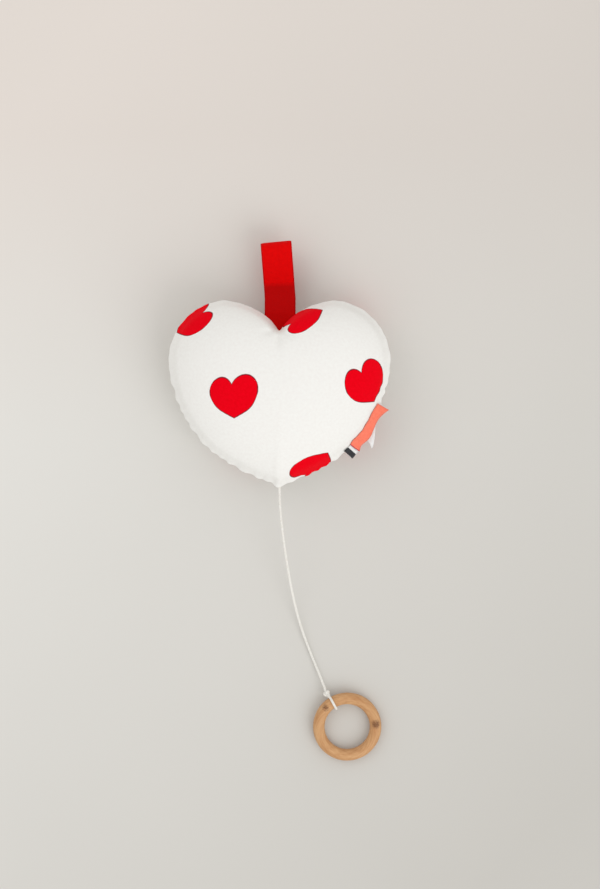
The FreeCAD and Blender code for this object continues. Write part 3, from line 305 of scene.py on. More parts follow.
# %% [markdown]
# At its end the cord goes once round the ring and is tied to itself. The loop is a drop shape round the
# ring's section, and the knot is the closed curve of a simple overhand knot, drawn small and fat. Both
# use the same braid.

# %% Knot and loop
ACROSS = OUTWARD.cross(Vector((0, 0, 1))).normalized()
UPWARD = ACROSS.cross(OUTWARD).normalized()
LOOP_RADIUS = 6.0 * MM
loop_points = [CORD_END + OUTWARD * 1.2 * MM, KNOT + UPWARD * 0.5 * MM - ACROSS * 0.5 * MM]
for k in range(13):
    angle = math.radians(40 + 280 * k / 12)
    sway = ACROSS * (0.9 * MM * math.cos(angle / 2))
    spoke = OUTWARD * math.cos(angle) + UPWARD * math.sin(angle)
    loop_points.append(TIED + spoke * LOOP_RADIUS * 1.02 + sway)
loop_points.append(KNOT - UPWARD * 0.6 * MM + ACROSS * 0.5 * MM)
knot_points = []
KNOT_SIZE = 0.72 * MM
for k in range(24):
    t = 2 * math.pi * k / 24
    wave = (math.sin(t) + 2 * math.sin(2 * t), math.cos(t) - 2 * math.cos(2 * t), -1.5 * math.sin(3 * t))
    knot_points.append(KNOT + (ACROSS * wave[0] + OUTWARD * wave[1] * 1.15 + UPWARD * wave[2]) * KNOT_SIZE)
loop, _ = braided("ring_loop_braid", spline_object("loop_line", loop_points), cord_finish)
knot, _ = braided("cord_knot_braid", spline_object("knot_line", knot_points, cyclic=True), cord_finish)
for piece in (loop, knot):
    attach(piece, "pull")
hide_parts("cord_knot")
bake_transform(cord)
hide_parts("pull_cord")

# %% [markdown]
# The heart is two flat panels sewn edge to edge and stuffed. It is made the same way: an even net of
# triangles fills the flat outline, front and back share the rim, and Blender's cloth swells them with
# pressure. The rim is then too long for the shape and gathers into the small puckers that a sewn
# cushion has.

# %% Flat panels
CORNERS = [Vector(point) * MM for point in ((0, 39), (45, 62), (89.5, 10), (57, -59), (6, -86.5))]
BULGES = [rise * MM for rise in (5.0, 14.0, 7.3, 2.6)]
TIP_BULGE = 3.0 * MM
NET = 2.9 * MM
EASE = 1.13


def arc_points(start, end, rise, count):
    """Points from start up to end, on an arc that stands out to the left by rise."""
    way = end - start
    out = Vector((-way.y, way.x)).normalized()
    radius = ((way.length / 2) ** 2 + rise**2) / (2 * rise)
    centre = (start + end) / 2 + out * (rise - radius)
    first = math.atan2(start.y - centre.y, start.x - centre.x)
    last = math.atan2(end.y - centre.y, end.x - centre.x)
    sweep = (last - first + math.pi) % (2 * math.pi) - math.pi
    angles = [first + sweep * k / count for k in range(count)]
    return [centre + radius * Vector((math.cos(a), math.sin(a))) for a in angles]


def heart_rim(step):
    """The outline of the sewn heart, once round from the cleft."""
    left = [Vector((-point.x, point.y)) for point in reversed(CORNERS)]
    runs = list(zip(CORNERS, CORNERS[1:], BULGES))
    runs.append((CORNERS[-1], left[0], TIP_BULGE))
    runs += list(zip(left, left[1:], reversed(BULGES)))
    points = []
    for start, end, rise in runs:
        points += arc_points(start, end, rise, max(3, round((end - start).length * 1.05 / step)))
    return points


def inside(point, rim):
    """Whether a line to the right of the point crosses the rim an odd number of times."""
    odd = False
    for a, b in zip(rim, rim[1:] + rim[:1]):
        if (a.y > point.y) == (b.y > point.y):
            continue
        if point.x < (b.x - a.x) * (point.y - a.y) / (b.y - a.y) + a.x:
            odd = not odd
    return odd


def flat_net(rim, step):
    """Points of an even triangular net inside the rim, clear of it."""
    low = Vector((min(p.x for p in rim), min(p.y for p in rim)))
    high = Vector((max(p.x for p in rim), max(p.y for p in rim)))
    points, row, y = [], 0, low.y
    while y < high.y:
        x = low.x + (step / 2 if row % 2 else 0)
        while x < high.x:
            point = Vector((x, y))
            if inside(point, rim) and min((point - edge).length for edge in rim) > 0.6 * step:
                points.append(point)
            x += step
        y += step * math.sqrt(3) / 2
        row += 1
    return points


cut_rim = [point * EASE for point in heart_rim(NET)]
panel_points = cut_rim + flat_net(cut_rim, NET)
rim_count = len(cut_rim)
rim_edges = [(k, (k + 1) % rim_count) for k in range(rim_count)]
flat, _, triangles, *_ = delaunay_2d_cdt(panel_points, rim_edges, [], 1, 1e-7)
print("points in a panel:", len(flat), "on the rim:", rim_count)

# %% [markdown]
# Sewing joins the panels along the rim, and stuffing is pressure from within. Each panel starts with a
# slight slope, so that the pressure has an inside to push from. Woven cotton hardly stretches, so the
# cloth is stiff in its plane and bends easily. The result is kept as a plain mesh, without the
# simulation.

# %% Sew and stuff
START_SLOPE = 0.35
cushion = bmesh.new()
flat_layer = cushion.verts.layers.float_vector.new("flat")
front, back = [], []
for k, point in enumerate(flat):
    clear = min((point - edge).length for edge in cut_rim) if k >= rim_count else 0.0
    lift = START_SLOPE * min(clear, 0.03)
    for side, panel in ((1, front), (-1, back)):
        if k < rim_count and side < 0:
            panel.append(front[k])
            continue
        vertex = cushion.verts.new((point.x, point.y, side * lift))
        vertex[flat_layer] = (point.x, point.y, side if k >= rim_count else 0)
        panel.append(vertex)
for corners in triangles:
    cushion.faces.new([front[k] for k in corners])
    cushion.faces.new([back[k] for k in reversed(corners)])
cushion_mesh = bpy.data.meshes.new("stuffed_heart")
cushion.to_mesh(cushion_mesh)
cushion.free()
swelling = bpy.data.objects.new("stuffed_heart_swelling", cushion_mesh)
scene.collection.objects.link(swelling)
cloth = swelling.modifiers.new("cloth", "CLOTH")
sewn = cloth.settings
sewn.quality = 6
sewn.mass = 0.15
sewn.tension_stiffness = sewn.compression_stiffness = 40
sewn.shear_stiffness = 20
sewn.bending_stiffness = 0.25
sewn.tension_damping = sewn.compression_damping = sewn.shear_damping = 10
sewn.air_damping = 2
sewn.use_pressure = True
sewn.uniform_pressure_force = 8
sewn.effector_weights.gravity = 0
LAST_FRAME = 40
cloth.point_cache.frame_end = LAST_FRAME
for moment in range(1, LAST_FRAME + 1):
    scene.frame_set(moment)
heart_mesh = evaluated_mesh(swelling)
scene.frame_set(1)
bpy.data.objects.remove(swelling)
print("swollen by:", round(max(v.co.z for v in heart_mesh.vertices) / MM, 1), "mm")

# %% [markdown]
# The swollen heart is close to the real outline, but not exact. Each point of the rim is drawn towards
# its place on the outline of the CAD solid, evened out along the rim so that the fine puckers stay, and
# the cloth between goes along with the nearest rim. A wave along the rim deepens the puckers. The
# crowns are scaled to their heights, and the back is pressed flat on the table.

# %% Fit to the outline
FRONT_CROWN, BACK_CROWN = 38 * MM, 36 * MM
EVENED = 4
PUCKER = 11 * MM
heart_rim_now = [heart_mesh.vertices[k].co.xy for k in range(rim_count)]
pulls = [cut_rim[k] / EASE - heart_rim_now[k] for k in range(rim_count)]
evened = []
for k in range(rim_count):
    near = [pulls[(k + w) % rim_count] for w in range(-EVENED, EVENED + 1)]
    evened.append(sum(near, Vector((0, 0))) / len(near))
top = max(v.co.z for v in heart_mesh.vertices)
bottom = min(v.co.z for v in heart_mesh.vertices)
flat_places = [Vector(item.vector) for item in heart_mesh.attributes["flat"].data]
for vertex, spot in zip(heart_mesh.vertices, flat_places):
    weights = [((spot.xy - edge).length + 0.5 * MM) ** -3 for edge in cut_rim]
    shares = sum(weights)
    pull = sum((pull * weight for pull, weight in zip(evened, weights)), Vector((0, 0))) / shares
    place = vertex.co
    height = place.z * (FRONT_CROWN / top if place.z > 0 else BACK_CROWN / -bottom) + SEAM
    if height < 5 * MM:
        height = 0.6 * MM + 4.4 * MM * math.exp((height - 5 * MM) / (4.4 * MM))
    nearest = weights.index(max(weights))
    run = nearest * NET
    wave = math.sin(2 * math.pi * run / PUCKER + 1.7 * math.sin(2 * math.pi * run / (47 * MM)))
    depth = (1.0 if place.y < 5 * MM else 0.35) * math.exp(-(spot.xy - cut_rim[nearest]).length / (8 * MM))
    drawn = 1 - 0.011 * depth * (1 + wave)
    height += 0.9 * MM * wave * depth * spot.z
    vertex.co = ((place.x + pull.x) * drawn, (place.y + pull.y) * drawn, height)
print("longest pull of the rim in mm:", round(max(p.length for p in evened) / MM, 1))

# %% [markdown]
# In the cleft the pulls of both lobes meet and crumple the net. Forty passes that draw each point
# towards the mean of its neighbours smooth that patch and leave the rest of the heart alone.

# %% Smooth the cleft
around = [[] for _ in heart_mesh.vertices]
for edge in heart_mesh.edges:
    a, b = edge.vertices
    around[a].append(b)
    around[b].append(a)
SMOOTH_CENTRE, SMOOTH_REACH = Vector((0, 30)) * MM, 52 * MM
for _ in range(40):
    places = [vertex.co.copy() for vertex in heart_mesh.vertices]
    for k in range(rim_count, len(places)):
        share = min(0.8, 1.6 * (1 - (places[k].xy - SMOOTH_CENTRE).length / SMOOTH_REACH))
        if share > 0:
            mean = sum((places[j] for j in around[k]), Vector()) / len(around[k])
            heart_mesh.vertices[k].co = places[k].lerp(mean, share)

# %% [markdown]
# A firmly stuffed heart is full almost up to its seam. The CAD panels have that depth, so a ray from
# above or below reads their height at each point, and the cloth is filled out to it, less and less
# towards the seam. Short waves stand for the creases that fan out from the cleft.

# %% Fill out to the stuffed depth
FULL_FROM = 9 * MM
CLEFT_FOLDS = Vector((0, 37)) * MM
moulds = {
    side: BVHTree.FromObject(frame["nodes"][node], bpy.context.evaluated_depsgraph_get())
    for side, node in ((1, "front_panel"), (-1, "back_panel"))
}
lifts = []
for vertex, spot in zip(heart_mesh.vertices, flat_places):
    side = round(spot.z)
    if not side:
        continue
    above = Vector((vertex.co.x, vertex.co.y, SEAM + side * 0.2))
    hit = moulds[side].ray_cast(above, Vector((0, 0, -side)))[0]
    clear = min((spot.xy - edge).length for edge in cut_rim)
    if hit:
        share = min(1.0, clear / FULL_FROM)
        share = share * share * (3 - 2 * share)
        lifts.append((hit.z - vertex.co.z) * share)
        vertex.co.z += lifts[-1]
    off = vertex.co.xy - CLEFT_FOLDS
    folds = math.cos(5.2 * math.atan2(off.x, -off.y) + 0.6)
    if side > 0 and off.y < 0:
        vertex.co.z -= 1.3 * MM * max(0.0, folds) * math.exp(-(((off.length / MM - 8) / 6) ** 2))
for vertex in heart_mesh.vertices:
    vertex.co.z = max(vertex.co.z, 0.15 * MM)
print("moved to the stuffed depth by, in mm:", round(min(lifts) / MM, 1), "to", round(max(lifts) / MM, 1))
heart_mesh.update()

# %% [markdown]
# White percale with a tossed print of plain red hearts. The print is drawn by arithmetic on the flat
# cut panel, so it follows the cloth round the stuffing. Two half ellipses make the top of a heart and a
# pair of curved flanks its point; a fine dark line runs round it, as where two inks overlap. The
# stuffing draws the cloth out more one way than the other, so each heart is set out with the stretch of
# the cloth under it and keeps its shape.

# %% Cotton print
PRINT_WIDTH = 38.5 * MM
SEEN_PRINT = [(-37, -18, 1), (69.4, -7, 30), (-70, 44.7, -58), (18.5, 46.8, 115), (28, -72, 146)]
BACK_PRINT = [((38, 12), 20), ((-44, 30), -75), ((-24, -52), 150), ((70, 58), 60), ((60, -44), -30)]
front_points, back_points = [], []
for vertex, spot in zip(heart_mesh.vertices, flat_places):
    (front_points if spot.z > 0 else back_points).append((vertex.co.copy(), spot.xy))


def drawn_out(points, place):
    """How much the stuffed cloth is drawn out round a place on the flat panel, as a 2 x 2 stretch."""
    near = [pair for pair in points if (pair[1] - place).length < PRINT_WIDTH / 3]
    full = np.array([tuple(pair[0]) for pair in near])
    flat = np.array([tuple(pair[1]) for pair in near])
    slope = np.linalg.lstsq(flat - flat.mean(axis=0), full - full.mean(axis=0), rcond=None)[0]
    sizes, ways = np.linalg.eigh(slope @ slope.T)
    return ways @ np.diag(np.sqrt(sizes)) @ ways.T


FRONT_HEARTS = []
for x, y, tilt in SEEN_PRINT:
    seen = Vector((x, y)) * MM
    near, spot = min(front_points, key=lambda pair: (pair[0].xy - seen).length)
    place = spot + (seen - near.xy) * EASE
    FRONT_HEARTS.append((place, tilt, drawn_out(front_points, place)))
BACK_HEARTS = [
    (Vector(place) * MM, tilt, drawn_out(back_points, Vector(place) * MM)) for place, tilt in BACK_PRINT
]


# One printed heart, in quarter widths from the line where it is widest: the lobes, the tip and the flanks.
LOBE_MIDDLE, LOBE_REACH, LOBE_RISE = 0.95, 1.08, 1.15
TIP_DEPTH, FLANK_SLOPE, FLANK_CURL = 2.29, 1.22, 0.9
HEART_MIDDLE = -0.525


def printed_heart():
    """A node group: how far a place on the flat cloth lies outside one heart, in quarter widths."""
    group = bpy.data.node_groups.new("printed_heart", "ShaderNodeTree")
    group.interface.new_socket("Place", in_out="INPUT", socket_type="NodeSocketVector")
    group.interface.new_socket("Outside", in_out="OUTPUT", socket_type="NodeSocketFloat")
    given = add(group, "NodeGroupInput").outputs[0]
    parts = add(group, "ShaderNodeSeparateXYZ", {0: given}).outputs
    across, up = sums(group, "ABSOLUTE", parts[0]), parts[1]
    from_lobe = sums(group, "SUBTRACT", across, LOBE_MIDDLE)
    square = sums(group, "MULTIPLY", from_lobe, from_lobe)
    left_over = sums(group, "MAXIMUM", sums(group, "SUBTRACT", LOBE_REACH**2, square), 0.0)
    lobe = sums(group, "MULTIPLY", sums(group, "SQRT", left_over), LOBE_RISE)
    half = sums(group, "MULTIPLY", across, 0.5)
    curl = sums(group, "POWER", half, 6.0)
    foot = sums(group, "MULTIPLY_ADD", curl, FLANK_CURL, -TIP_DEPTH)
    flank = sums(group, "MULTIPLY_ADD", half, FLANK_SLOPE, foot)
    out = sums(group, "MAXIMUM", sums(group, "SUBTRACT", up, lobe), sums(group, "SUBTRACT", flank, up))
    out = sums(group, "MAXIMUM", out, sums(group, "SUBTRACT", across, 2.0))
    add(group, "NodeGroupOutput", {0: out})
    return group


HEART_GROUP = printed_heart()
cotton, tree, shader = new_finish(
    "printed_cotton", Roughness=0.9, Sheen_Weight=0.02, Specular_IOR_Level=0.03
)
flat_place = add(tree, "ShaderNodeAttribute", attribute_name="flat").outputs["Vector"]
side_of_cloth = add(tree, "ShaderNodeSeparateXYZ", {0: flat_place}).outputs[2]


def tossed(places):
    """How far a place lies outside the nearest of several tossed hearts."""
    nearest = 9.0
    for place, tilt, stretch in places:
        cos, sin = math.cos(math.radians(tilt)), math.sin(math.radians(tilt))
        rows = np.array([[cos, sin], [-sin, cos]]) @ stretch * 4 / PRINT_WIDTH
        inputs = {0: flat_place, 1: (place.x, place.y, 0)}
        away = add(tree, "ShaderNodeVectorMath", inputs, operation="SUBTRACT").outputs[0]
        across, up = (
            add(tree, "ShaderNodeVectorMath", {0: away, 1: (*row, 0)}, operation="DOT_PRODUCT").outputs[1]
            for row in rows
        )
        inputs = {0: across, 1: sums(tree, "ADD", up, HEART_MIDDLE)}
        put = add(tree, "ShaderNodeCombineXYZ", inputs).outputs[0]
        one = add(tree, "ShaderNodeGroup", node_tree=HEART_GROUP)
        tree.links.new(put, one.inputs[0])
        nearest = sums(tree, "MINIMUM", one.outputs[0], nearest)
    return nearest


on_front = sums(tree, "GREATER_THAN", side_of_cloth, 0.0)
inputs = {0: on_front, 2: tossed(BACK_HEARTS), 3: tossed(FRONT_HEARTS)}
outside = add(tree, "ShaderNodeMix", inputs).outputs[0]
inked = ramp(tree, outside, 0.02, -0.02)
edge_line = ramp(tree, sums(tree, "ABSOLUTE", sums(tree, "ADD", outside, 0.02)), 0.07, 0.03)
parts = add(tree, "ShaderNodeSeparateXYZ", {0: flat_place}).outputs
THREAD = 0.42 * MM
across, along = (sums(tree, "MULTIPLY", parts[k], 2 * math.pi / THREAD) for k in (0, 1))
weave = sums(tree, "MULTIPLY", sums(tree, "SINE", across), sums(tree, "SINE", along))
slub = noise(tree, flat_place, 420, 4)
white = blend_colours(tree, ramp(tree, slub, 0.35, 0.65), colour(240, 239, 236), colour(243, 243, 240))
red = blend_colours(tree, ramp(tree, slub, 0.3, 0.7), colour(231, 0, 19), colour(240, 0, 25))
printed = blend_colours(tree, inked, white, red)
lined = blend_colours(tree, sums(tree, "MULTIPLY", edge_line, 0.8), printed, colour(96, 10, 30))
tree.links.new(lined, shader.inputs["Base Color"])
hollows = sums(tree, "MULTIPLY", noise(tree, flat_place, 45, 3), 0.6)
cloth_height = sums(tree, "MULTIPLY_ADD", weave, 0.35, hollows)
bump(tree, shader, cloth_height, 0.25, 0.0004)

heart_mesh.materials.clear()
heart_mesh.materials.append(cotton)
heart = bpy.data.objects.new("stuffed_heart", heart_mesh)
scene.collection.objects.link(heart)
crease = heart_mesh.attributes.new("crease_edge", "FLOAT", "EDGE")
for edge in heart_mesh.edges:
    a, b = edge.vertices
    if a < rim_count and b < rim_count:
        crease.data[edge.index].value = 0.7
rounding = heart.modifiers.new("rounding", "SUBSURF")
rounding.levels = rounding.render_levels = 2
heart_smooth = evaluated_mesh(heart)
bpy.data.objects.remove(heart)
heart = new_piece("stuffed_heart", heart_smooth, cotton)
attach(heart, "heart")
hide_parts("front_panel", "back_panel", "stuffing")
print("faces of the heart:", len(heart_smooth.polygons))

# %% [markdown]
# The hanging loop is red webbing, 25 mm wide, folded back on itself. It comes out of the cleft, drops
# to a crease and rises to its fold. A ribbon of quads follows that path, thickened by hand, with a
# slight lean to the left.

# %% Hanging loop
CLEFT = 39 * MM
STRAP_WIDTH, STRAP_THICKNESS = 25 * MM, 1.4 * MM
STRAP_LEAN = 3.5 * MM
half_gap = 4 * MM
strap_turn = 71 * MM - STRAP_THICKNESS - half_gap
upper = [
    (-9, 0.7), (10, 0.7), (16, -1.4), (36, -11.6), (38, -12.6), (38, -12.6), (40, -12.0),
    (50, -8.8), (62, -5.7),
]
fold = []
for k in range(9):
    angle = math.radians(90 - 180 * k / 8)
    radius = half_gap + STRAP_THICKNESS / 2
    fold.append((strap_turn / MM + radius / MM * math.cos(angle), -10 + radius / MM * math.sin(angle)))
lower = [
    (62, -15.0), (50, -17.6), (40, -20.0), (38, -20.4), (36, -19.6), (17, -5.6), (10, -0.7), (-9, -0.7),
]
strap_points = [Vector((0, CLEFT + y * MM, SEAM + z * MM)) for y, z in upper + fold + lower]
strap_line = spline_object("strap_line", strap_points, fine=10)
strap_path = [vertex.co.copy() for vertex in evaluated_mesh(strap_line).vertices]
bpy.data.objects.remove(strap_line)


def lean(y):
    """How far the loop swings to the left at a height along the toy."""
    past = max(0.0, (y - CLEFT - 25 * MM) / (46 * MM))
    return -STRAP_LEAN * past + 0.5 * MM


def ribbon(name, path, across, width, thickness, columns, shift=None, point=0.0):
    """A flat band that follows a path; its own flat coordinates are kept for the weave."""
    made = bmesh.new()
    flat = made.verts.layers.float_vector.new("flat")
    rows, run = [], 0.0
    for k, spot in enumerate(path):
        before, after = path[max(k - 1, 0)], path[min(k + 1, len(path) - 1)]
        run += (spot - path[max(k - 1, 0)]).length
        out = (after - before).cross(across).normalized()
        row, span = [], width * (1 - point * k / (len(path) - 1))
        for side in (1, -1):
            cells = range(columns + 1) if side > 0 else range(columns, -1, -1)
            for c in cells:
                share = c / columns - 0.5
                edge = 1.0 - 0.55 * (abs(share) * 2) ** 14
                middle = spot + across * share * span
                if shift:
                    middle = middle + shift(middle, share)
                vertex = made.verts.new(middle + out * side * thickness / 2 * edge)
                vertex[flat] = (share * width, run, side)
                row.append(vertex)
        rows.append(row)
    for first, second in zip(rows, rows[1:]):
        for c in range(len(first)):
            d = (c + 1) % len(first)
            made.faces.new((first[c], first[d], second[d], second[c]))
    made.faces.new(list(reversed(rows[0])))
    made.faces.new(rows[-1])
    bmesh.ops.recalc_face_normals(made, faces=made.faces)
    mesh = bpy.data.meshes.new(name)
    made.to_mesh(mesh)
    made.free()
    return mesh


webbing, tree, shader = new_finish(
    "red_webbing", Roughness=0.75, Sheen_Weight=0.02, Specular_IOR_Level=0.05
)
place = add(tree, "ShaderNodeAttribute", attribute_name="flat").outputs["Vector"]
parts = add(tree, "ShaderNodeSeparateXYZ", {0: place}).outputs
RIB = 0.9 * MM
row = sums(tree, "SINE", sums(tree, "MULTIPLY", parts[1], 2 * math.pi / RIB))
warp = sums(tree, "SINE", sums(tree, "MULTIPLY", parts[0], 2 * math.pi / (1.3 * MM)))
woven = sums(tree, "MULTIPLY_ADD", sums(tree, "MULTIPLY", row, warp), 0.5, sums(tree, "MULTIPLY", row, 0.5))
mottled = sums(tree, "MULTIPLY_ADD", noise(tree, place, 400, 3), 1.5, woven)
shade = ramp(tree, mottled, -0.4, 1.6)
selvage = ramp(tree, sums(tree, "ABSOLUTE", parts[0]), 0.0112, 0.0116)
red_weave = blend_colours(tree, shade, colour(205, 0, 1), colour(238, 2, 3))
# Painted shade: the upper layer's run from the cleft to the crease is blended towards a deep red, standing
# in for the shade between the lobes where the loop tilts away from the light.
painted_crease_shade = ramp(tree, parts[1], 0.0505, 0.0455, 0.0, 0.45)
red_weave = blend_colours(tree, painted_crease_shade, red_weave, colour(120, 0, 0))
edged = blend_colours(tree, sums(tree, "MULTIPLY", selvage, 0.35), red_weave, colour(150, 2, 8))
tree.links.new(edged, shader.inputs["Base Color"])
bump(tree, shader, woven, 0.5, 0.0003)
strap_mesh = ribbon(
    "hanging_loop_webbing", strap_path, Vector((1, 0, 0)), STRAP_WIDTH, STRAP_THICKNESS, 16,
    lambda at, share: Vector((lean(at.y), -0.7 * share * (lean(at.y) - 0.5 * MM), 0)),
)
strap = new_piece("hanging_loop_webbing", strap_mesh, webbing)
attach(strap, "heart")
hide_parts("hanging_loop")
strap_length = sum((b - a).length for a, b in zip(strap_path, strap_path[1:]))
print("webbing along the loop in mm:", round(strap_length / MM, 1))

# %% [markdown]
# Two labels are sewn into the right side: a long coral ribbon that has curled into a wave, ending in a
# dark blue tab, and a folded white care tape under it. Both are plain. Each is a thin band whose path
# lies along the seam.

# %% Side labels
side_points = arc_points(CORNERS[2], CORNERS[3], BULGES[2], 100)
label_middle = side_points[70]
label_along = (side_points[69] - side_points[71]).normalized()
label_out = Vector((label_along.y, -label_along.x))


def seam_spot(along, out, up):
    """A place near the middle of the labels: along the seam, out of the heart, and up from the seam."""
    flat_spot = label_middle + label_along * along * MM + label_out * (out - 2.0) * MM
    return Vector((flat_spot.x, flat_spot.y, SEAM + (up + 2.6) * MM))


def label_finish(name, low, high, end=1.0):
    finish, tree, shader = new_finish(name, Roughness=0.6, Sheen_Weight=0.4)
    place = add(tree, "ShaderNodeAttribute", attribute_name="flat").outputs["Vector"]
    parts = add(tree, "ShaderNodeSeparateXYZ", {0: place}).outputs
    ribs = sums(tree, "SINE", sums(tree, "MULTIPLY", parts[1], 2 * math.pi / (0.35 * MM)))
    mottle = ramp(tree, noise(tree, place, 500, 3), 0.3, 0.7)
    ground = blend_colours(tree, mottle, low, high)
    stripe = ramp(tree, parts[1], end, end + 0.1 * MM)
    tree.links.new(blend_colours(tree, stripe, ground, colour(196, 20, 44)), shader.inputs["Base Color"])
    bump(tree, shader, ribs, 0.3, 0.0001)
    return finish


tape_white = label_finish("white_tape", colour(232, 232, 232), colour(245, 245, 245))
navy = label_finish("navy_ribbon", colour(8, 8, 18), colour(14, 14, 28))
ribbon_points = [
    (21, 3.6, 3.6), (16, 1.6, 4.4), (9, 0.6, 4.0), (1, 2.2, 3.2), (-6, 3.6, 2.8),
    (-11, 2.4, 3.4), (-16, 0.6, 4.2), (-20, 2.6, 3.2),
]
ribbon_line = spline_object("ribbon_line", [seam_spot(*spot) for spot in ribbon_points], fine=8)
ribbon_path = [vertex.co.copy() for vertex in evaluated_mesh(ribbon_line).vertices]
bpy.data.objects.remove(ribbon_line)
ribbon_length = sum((b - a).length for a, b in zip(ribbon_path, ribbon_path[1:]))
coral = label_finish("coral_ribbon", colour(246, 112, 82), colour(255, 126, 96), ribbon_length - 0.9 * MM)
out3 = Vector((label_out.x, label_out.y, 0))
tilted = (out3 * 0.82 - Vector((0, 0, 0.57))).normalized()
heart_skin = BVHTree.FromObject(heart, bpy.context.evaluated_depsgraph_get())


def settle(place, share):
    """Draws a label's inner edge onto the cloth and leaves its outer edge free."""
    near, outward, _, _ = heart_skin.find_nearest(place)
    return (near + outward * 0.7 * MM - place) * (0.5 - share)


ribbon_mesh = ribbon("side_ribbon", ribbon_path, tilted, 8.5 * MM, 0.6 * MM, 6, settle)
side_label = new_piece("side_ribbon", ribbon_mesh, coral)
tab_path = [seam_spot(*spot) for spot in ((-20.3, 2.2, 2.6), (-22.0, 2.0, 2.3), (-23.4, 1.9, 2.1))]
band_mesh = ribbon("side_ribbon_band", tab_path, tilted, 7.6 * MM, 0.7 * MM, 6, settle)
tab_white = new_piece("side_ribbon_band", band_mesh, tape_white)
navy_path = [seam_spot(*spot) for spot in ((-23.4, 1.9, 2.1), (-25.5, 1.8, 1.9), (-28.0, 1.4, 1.7))]
tab_mesh = ribbon("side_ribbon_tab", navy_path, tilted, 7.4 * MM, 0.7 * MM, 6, settle)
tab_navy = new_piece("side_ribbon_tab", tab_mesh, navy)
CARE_PLACES = ((73.2, -43.0, 33.3), (74.2, -46.6, 33.1), (74.9, -51.2, 32.6), (75.0, -56.6, 31.8))
care_path = [Vector(place) * MM for place in CARE_PLACES]
along3 = Vector((label_along.x, label_along.y, 0))
care_mesh = ribbon("care_tape", care_path, along3, 16 * MM, 0.6 * MM, 6, point=0.85)
care = new_piece("care_tape", care_mesh, tape_white)
for piece, slot_name in ((side_label, "ribbon"), (tab_white, "tape"), (tab_navy, "ribbon"), (care, "tape")):
    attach(piece, "heart")
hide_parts("side_label")
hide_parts("care_label")

# %% [markdown]
# The ring is turned from a light hardwood and left bare. Its CAD shape is right, so it only needs its
# finish: grain that runs round the ring in long streaks, and two dark knots where a twig once grew.

# %% Wooden ring
RING_CENTRE = Vector((55.2, -285.6, 5.875)) * MM
wood, tree, shader = new_finish("bare_wood", Roughness=0.5, Specular_IOR_Level=0.35)
inputs = {0: object_place(tree), 1: tuple(-RING_CENTRE)}
spot = add(tree, "ShaderNodeVectorMath", inputs, operation="ADD").outputs[0]
parts = add(tree, "ShaderNodeSeparateXYZ", {0: spot}).outputs
angle = sums(tree, "ARCTAN2", parts[1], parts[0])
across = sums(tree, "MULTIPLY", parts[1], parts[1])
radius = sums(tree, "SQRT", sums(tree, "MULTIPLY_ADD", parts[0], parts[0], across))
turn_x = sums(tree, "MULTIPLY", sums(tree, "COSINE", angle), 0.006)
turn_y = sums(tree, "MULTIPLY_ADD", sums(tree, "SINE", angle), 0.006, radius)
stretched = add(tree, "ShaderNodeCombineXYZ", {0: turn_x, 1: turn_y, 2: parts[2]}).outputs[0]
streaks = noise(tree, stretched, 900, 4, 0.6)
broad = noise(tree, stretched, 260, 2)
pores = noise(tree, spot, 2600, 2)
grain = sums(tree, "MULTIPLY_ADD", streaks, 0.6, sums(tree, "MULTIPLY", broad, 0.5))
pale = blend_colours(tree, ramp(tree, grain, 0.38, 0.72), colour(181, 128, 82), colour(212, 168, 120))
knots = 0.0
for degrees, size in ((6, 4.4), (138, 3.6)):
    at = Vector((math.cos(math.radians(degrees)), math.sin(math.radians(degrees)), 0.18)) * 23.6 * MM
    off = add(tree, "ShaderNodeVectorMath", {0: spot, 1: tuple(at)}, operation="DISTANCE").outputs["Value"]
    nearer = sums(tree, "SUBTRACT", off, 1.2 * MM)
    ragged = sums(tree, "MULTIPLY_ADD", noise(tree, spot, 700, 3), 2.4 * MM, nearer)
    knots = sums(tree, "MAXIMUM", ramp(tree, ragged, size * MM, 0.4 * size * MM), knots)
rings = sums(tree, "MULTIPLY", knots, ramp(tree, noise(tree, spot, 1500, 3), 0.35, 0.6, 0.35, 1.0))
tree.links.new(blend_colours(tree, rings, pale, colour(92, 50, 22)), shader.inputs["Base Color"])
tree.links.new(ramp(tree, streaks, 0.2, 0.8, 0.42, 0.6), shader.inputs["Roughness"])
bump(tree, shader, sums(tree, "ADD", sums(tree, "MULTIPLY", pores, 0.5), streaks), 0.15, 0.0003)

# %% [markdown]
# The movement is sewn out of sight, but anyone who opens the heart finds it finished too: moulded
# plastic, turned steel, spring steel and brass, each with the fine marks that its making leaves.

# %% Movement finishes


def plain_finish(name, low, high, roughness, metallic, scale, strength):
    finish, tree, shader = new_finish(name, Metallic=metallic)
    mottle = noise(tree, object_place(tree), scale, 4)
    ground = blend_colours(tree, ramp(tree, mottle, 0.3, 0.7), colour(*low), colour(*high))
    tree.links.new(ground, shader.inputs["Base Color"])
    rough = ramp(tree, mottle, 0.2, 0.8, roughness * 0.85, roughness * 1.15)
    tree.links.new(rough, shader.inputs["Roughness"])
    bump(tree, shader, mottle, strength, 0.0002)
    return finish


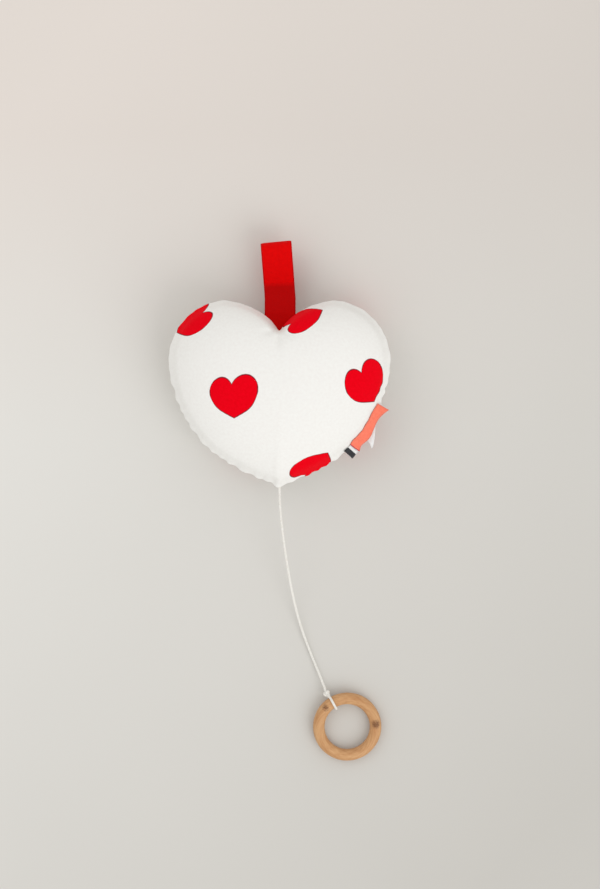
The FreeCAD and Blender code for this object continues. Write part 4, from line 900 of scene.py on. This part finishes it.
# For each slot: the finish, its darker and lighter colour, its roughness, whether it is metal, and the
# scale and depth of its marks.
SLOT_LOOKS = {
    "filling": ("fibre_filling", (228, 228, 224), (244, 244, 240), 0.9, 0.0, 300, 0.9),
    "case": ("moulded_case", (222, 222, 217), (232, 232, 228), 0.45, 0.0, 900, 0.12),
    "bush": ("glossy_eyelet", (214, 214, 210), (222, 222, 218), 0.25, 0.0, 900, 0.05),
    "plate": ("zinc_plate", (150, 150, 147), (170, 170, 166), 0.45, 0.9, 500, 0.15),
    "comb": ("comb_steel", (178, 180, 184), (198, 200, 203), 0.28, 1.0, 1200, 0.08),
    "steel": ("turned_steel", (165, 165, 168), (190, 190, 192), 0.32, 1.0, 1500, 0.1),
    "spring": ("blued_spring", (70, 78, 96), (104, 110, 124), 0.3, 1.0, 800, 0.08),
    "moulding": ("natural_nylon", (214, 208, 192), (226, 220, 205), 0.5, 0.0, 700, 0.1),
    "gear": ("natural_acetal", (238, 233, 213), (246, 242, 224), 0.35, 0.0, 900, 0.06),
    "brass": ("turned_brass", (196, 158, 76), (216, 180, 98), 0.3, 1.0, 1000, 0.08),
}
slot_finishes = {slot: plain_finish(*look) for slot, look in SLOT_LOOKS.items()}
slot_finishes.update(cord=cord_finish, wood=wood)
for part in frame["record"]["subparts"]:
    node = frame["nodes"].get(part["node"])
    finish = slot_finishes.get(part["material_slot"])
    if node and finish:
        node.data.materials.clear()
        node.data.materials.append(finish)

# %% [markdown]
# A pale grey paper floor with painted light: its colour is lighter towards the upper left and darker
# towards the lower right, and a little warmer towards the top. The lamps give plain soft light from the
# lower right, low enough to leave soft shadows on the upper left of everything that stands off the floor.

# %% Floor and light
floor_finish, tree, shader = new_finish("paper_floor", Roughness=0.9, Specular_IOR_Level=0.1)
parts = add(tree, "ShaderNodeSeparateXYZ", {0: object_place(tree)}).outputs
# Painted light: the floor's colour darkens along a line from the upper left to the lower right, with a
# faint noise mottle on top.
slope = sums(tree, "MULTIPLY", sums(tree, "SUBTRACT", parts[0], parts[1]), math.sqrt(0.5))
cloudy_and_painted_falloff = sums(tree, "MULTIPLY_ADD", noise(tree, object_place(tree), 6, 2), 0.06, slope)
painted_falloff = ramp(tree, cloudy_and_painted_falloff, -0.28, 0.45)
warm = blend_colours(tree, painted_falloff, colour(225, 218, 212), colour(195, 192, 187))
cool = blend_colours(tree, painted_falloff, colour(232, 231, 227), colour(197, 195, 190))
paper = blend_colours(tree, ramp(tree, parts[1], 0.2, -0.05), warm, cool)
tree.links.new(paper, shader.inputs["Base Color"])
bump(tree, shader, noise(tree, object_place(tree), 700, 3), 0.1, 0.0002)
floor_net = bmesh.new()
bmesh.ops.create_grid(floor_net, x_segments=1, y_segments=1, size=3.0)
floor_mesh = bpy.data.meshes.new("paper_floor")
floor_net.to_mesh(floor_mesh)
floor_net.free()
floor = new_piece("paper_floor", floor_mesh, floor_finish, smooth=False)

world = bpy.data.worlds.new("studio")
world.use_nodes = True
world.node_tree.nodes["Background"].inputs["Color"].default_value = (1.0, 0.985, 0.965, 1)
world.node_tree.nodes["Background"].inputs["Strength"].default_value = 0.82
scene.world = world


def soft_lamp(name, place, target, size, power):
    data = bpy.data.lights.new(name, "AREA")
    data.shape = "DISK"
    data.size = size
    data.energy = power
    lamp = bpy.data.objects.new(name, data)
    lamp.location = place
    lamp.rotation_euler = (Vector(target) - Vector(place)).to_track_quat("-Z", "Y").to_euler()
    scene.collection.objects.link(lamp)


soft_lamp("window", (1.3, -1.5, 1.7), (0.02, -0.05, 0), 2.0, 19)
soft_lamp("reflector", (-1.4, 0.9, 1.9), (0, 0, 0), 1.6, 5)
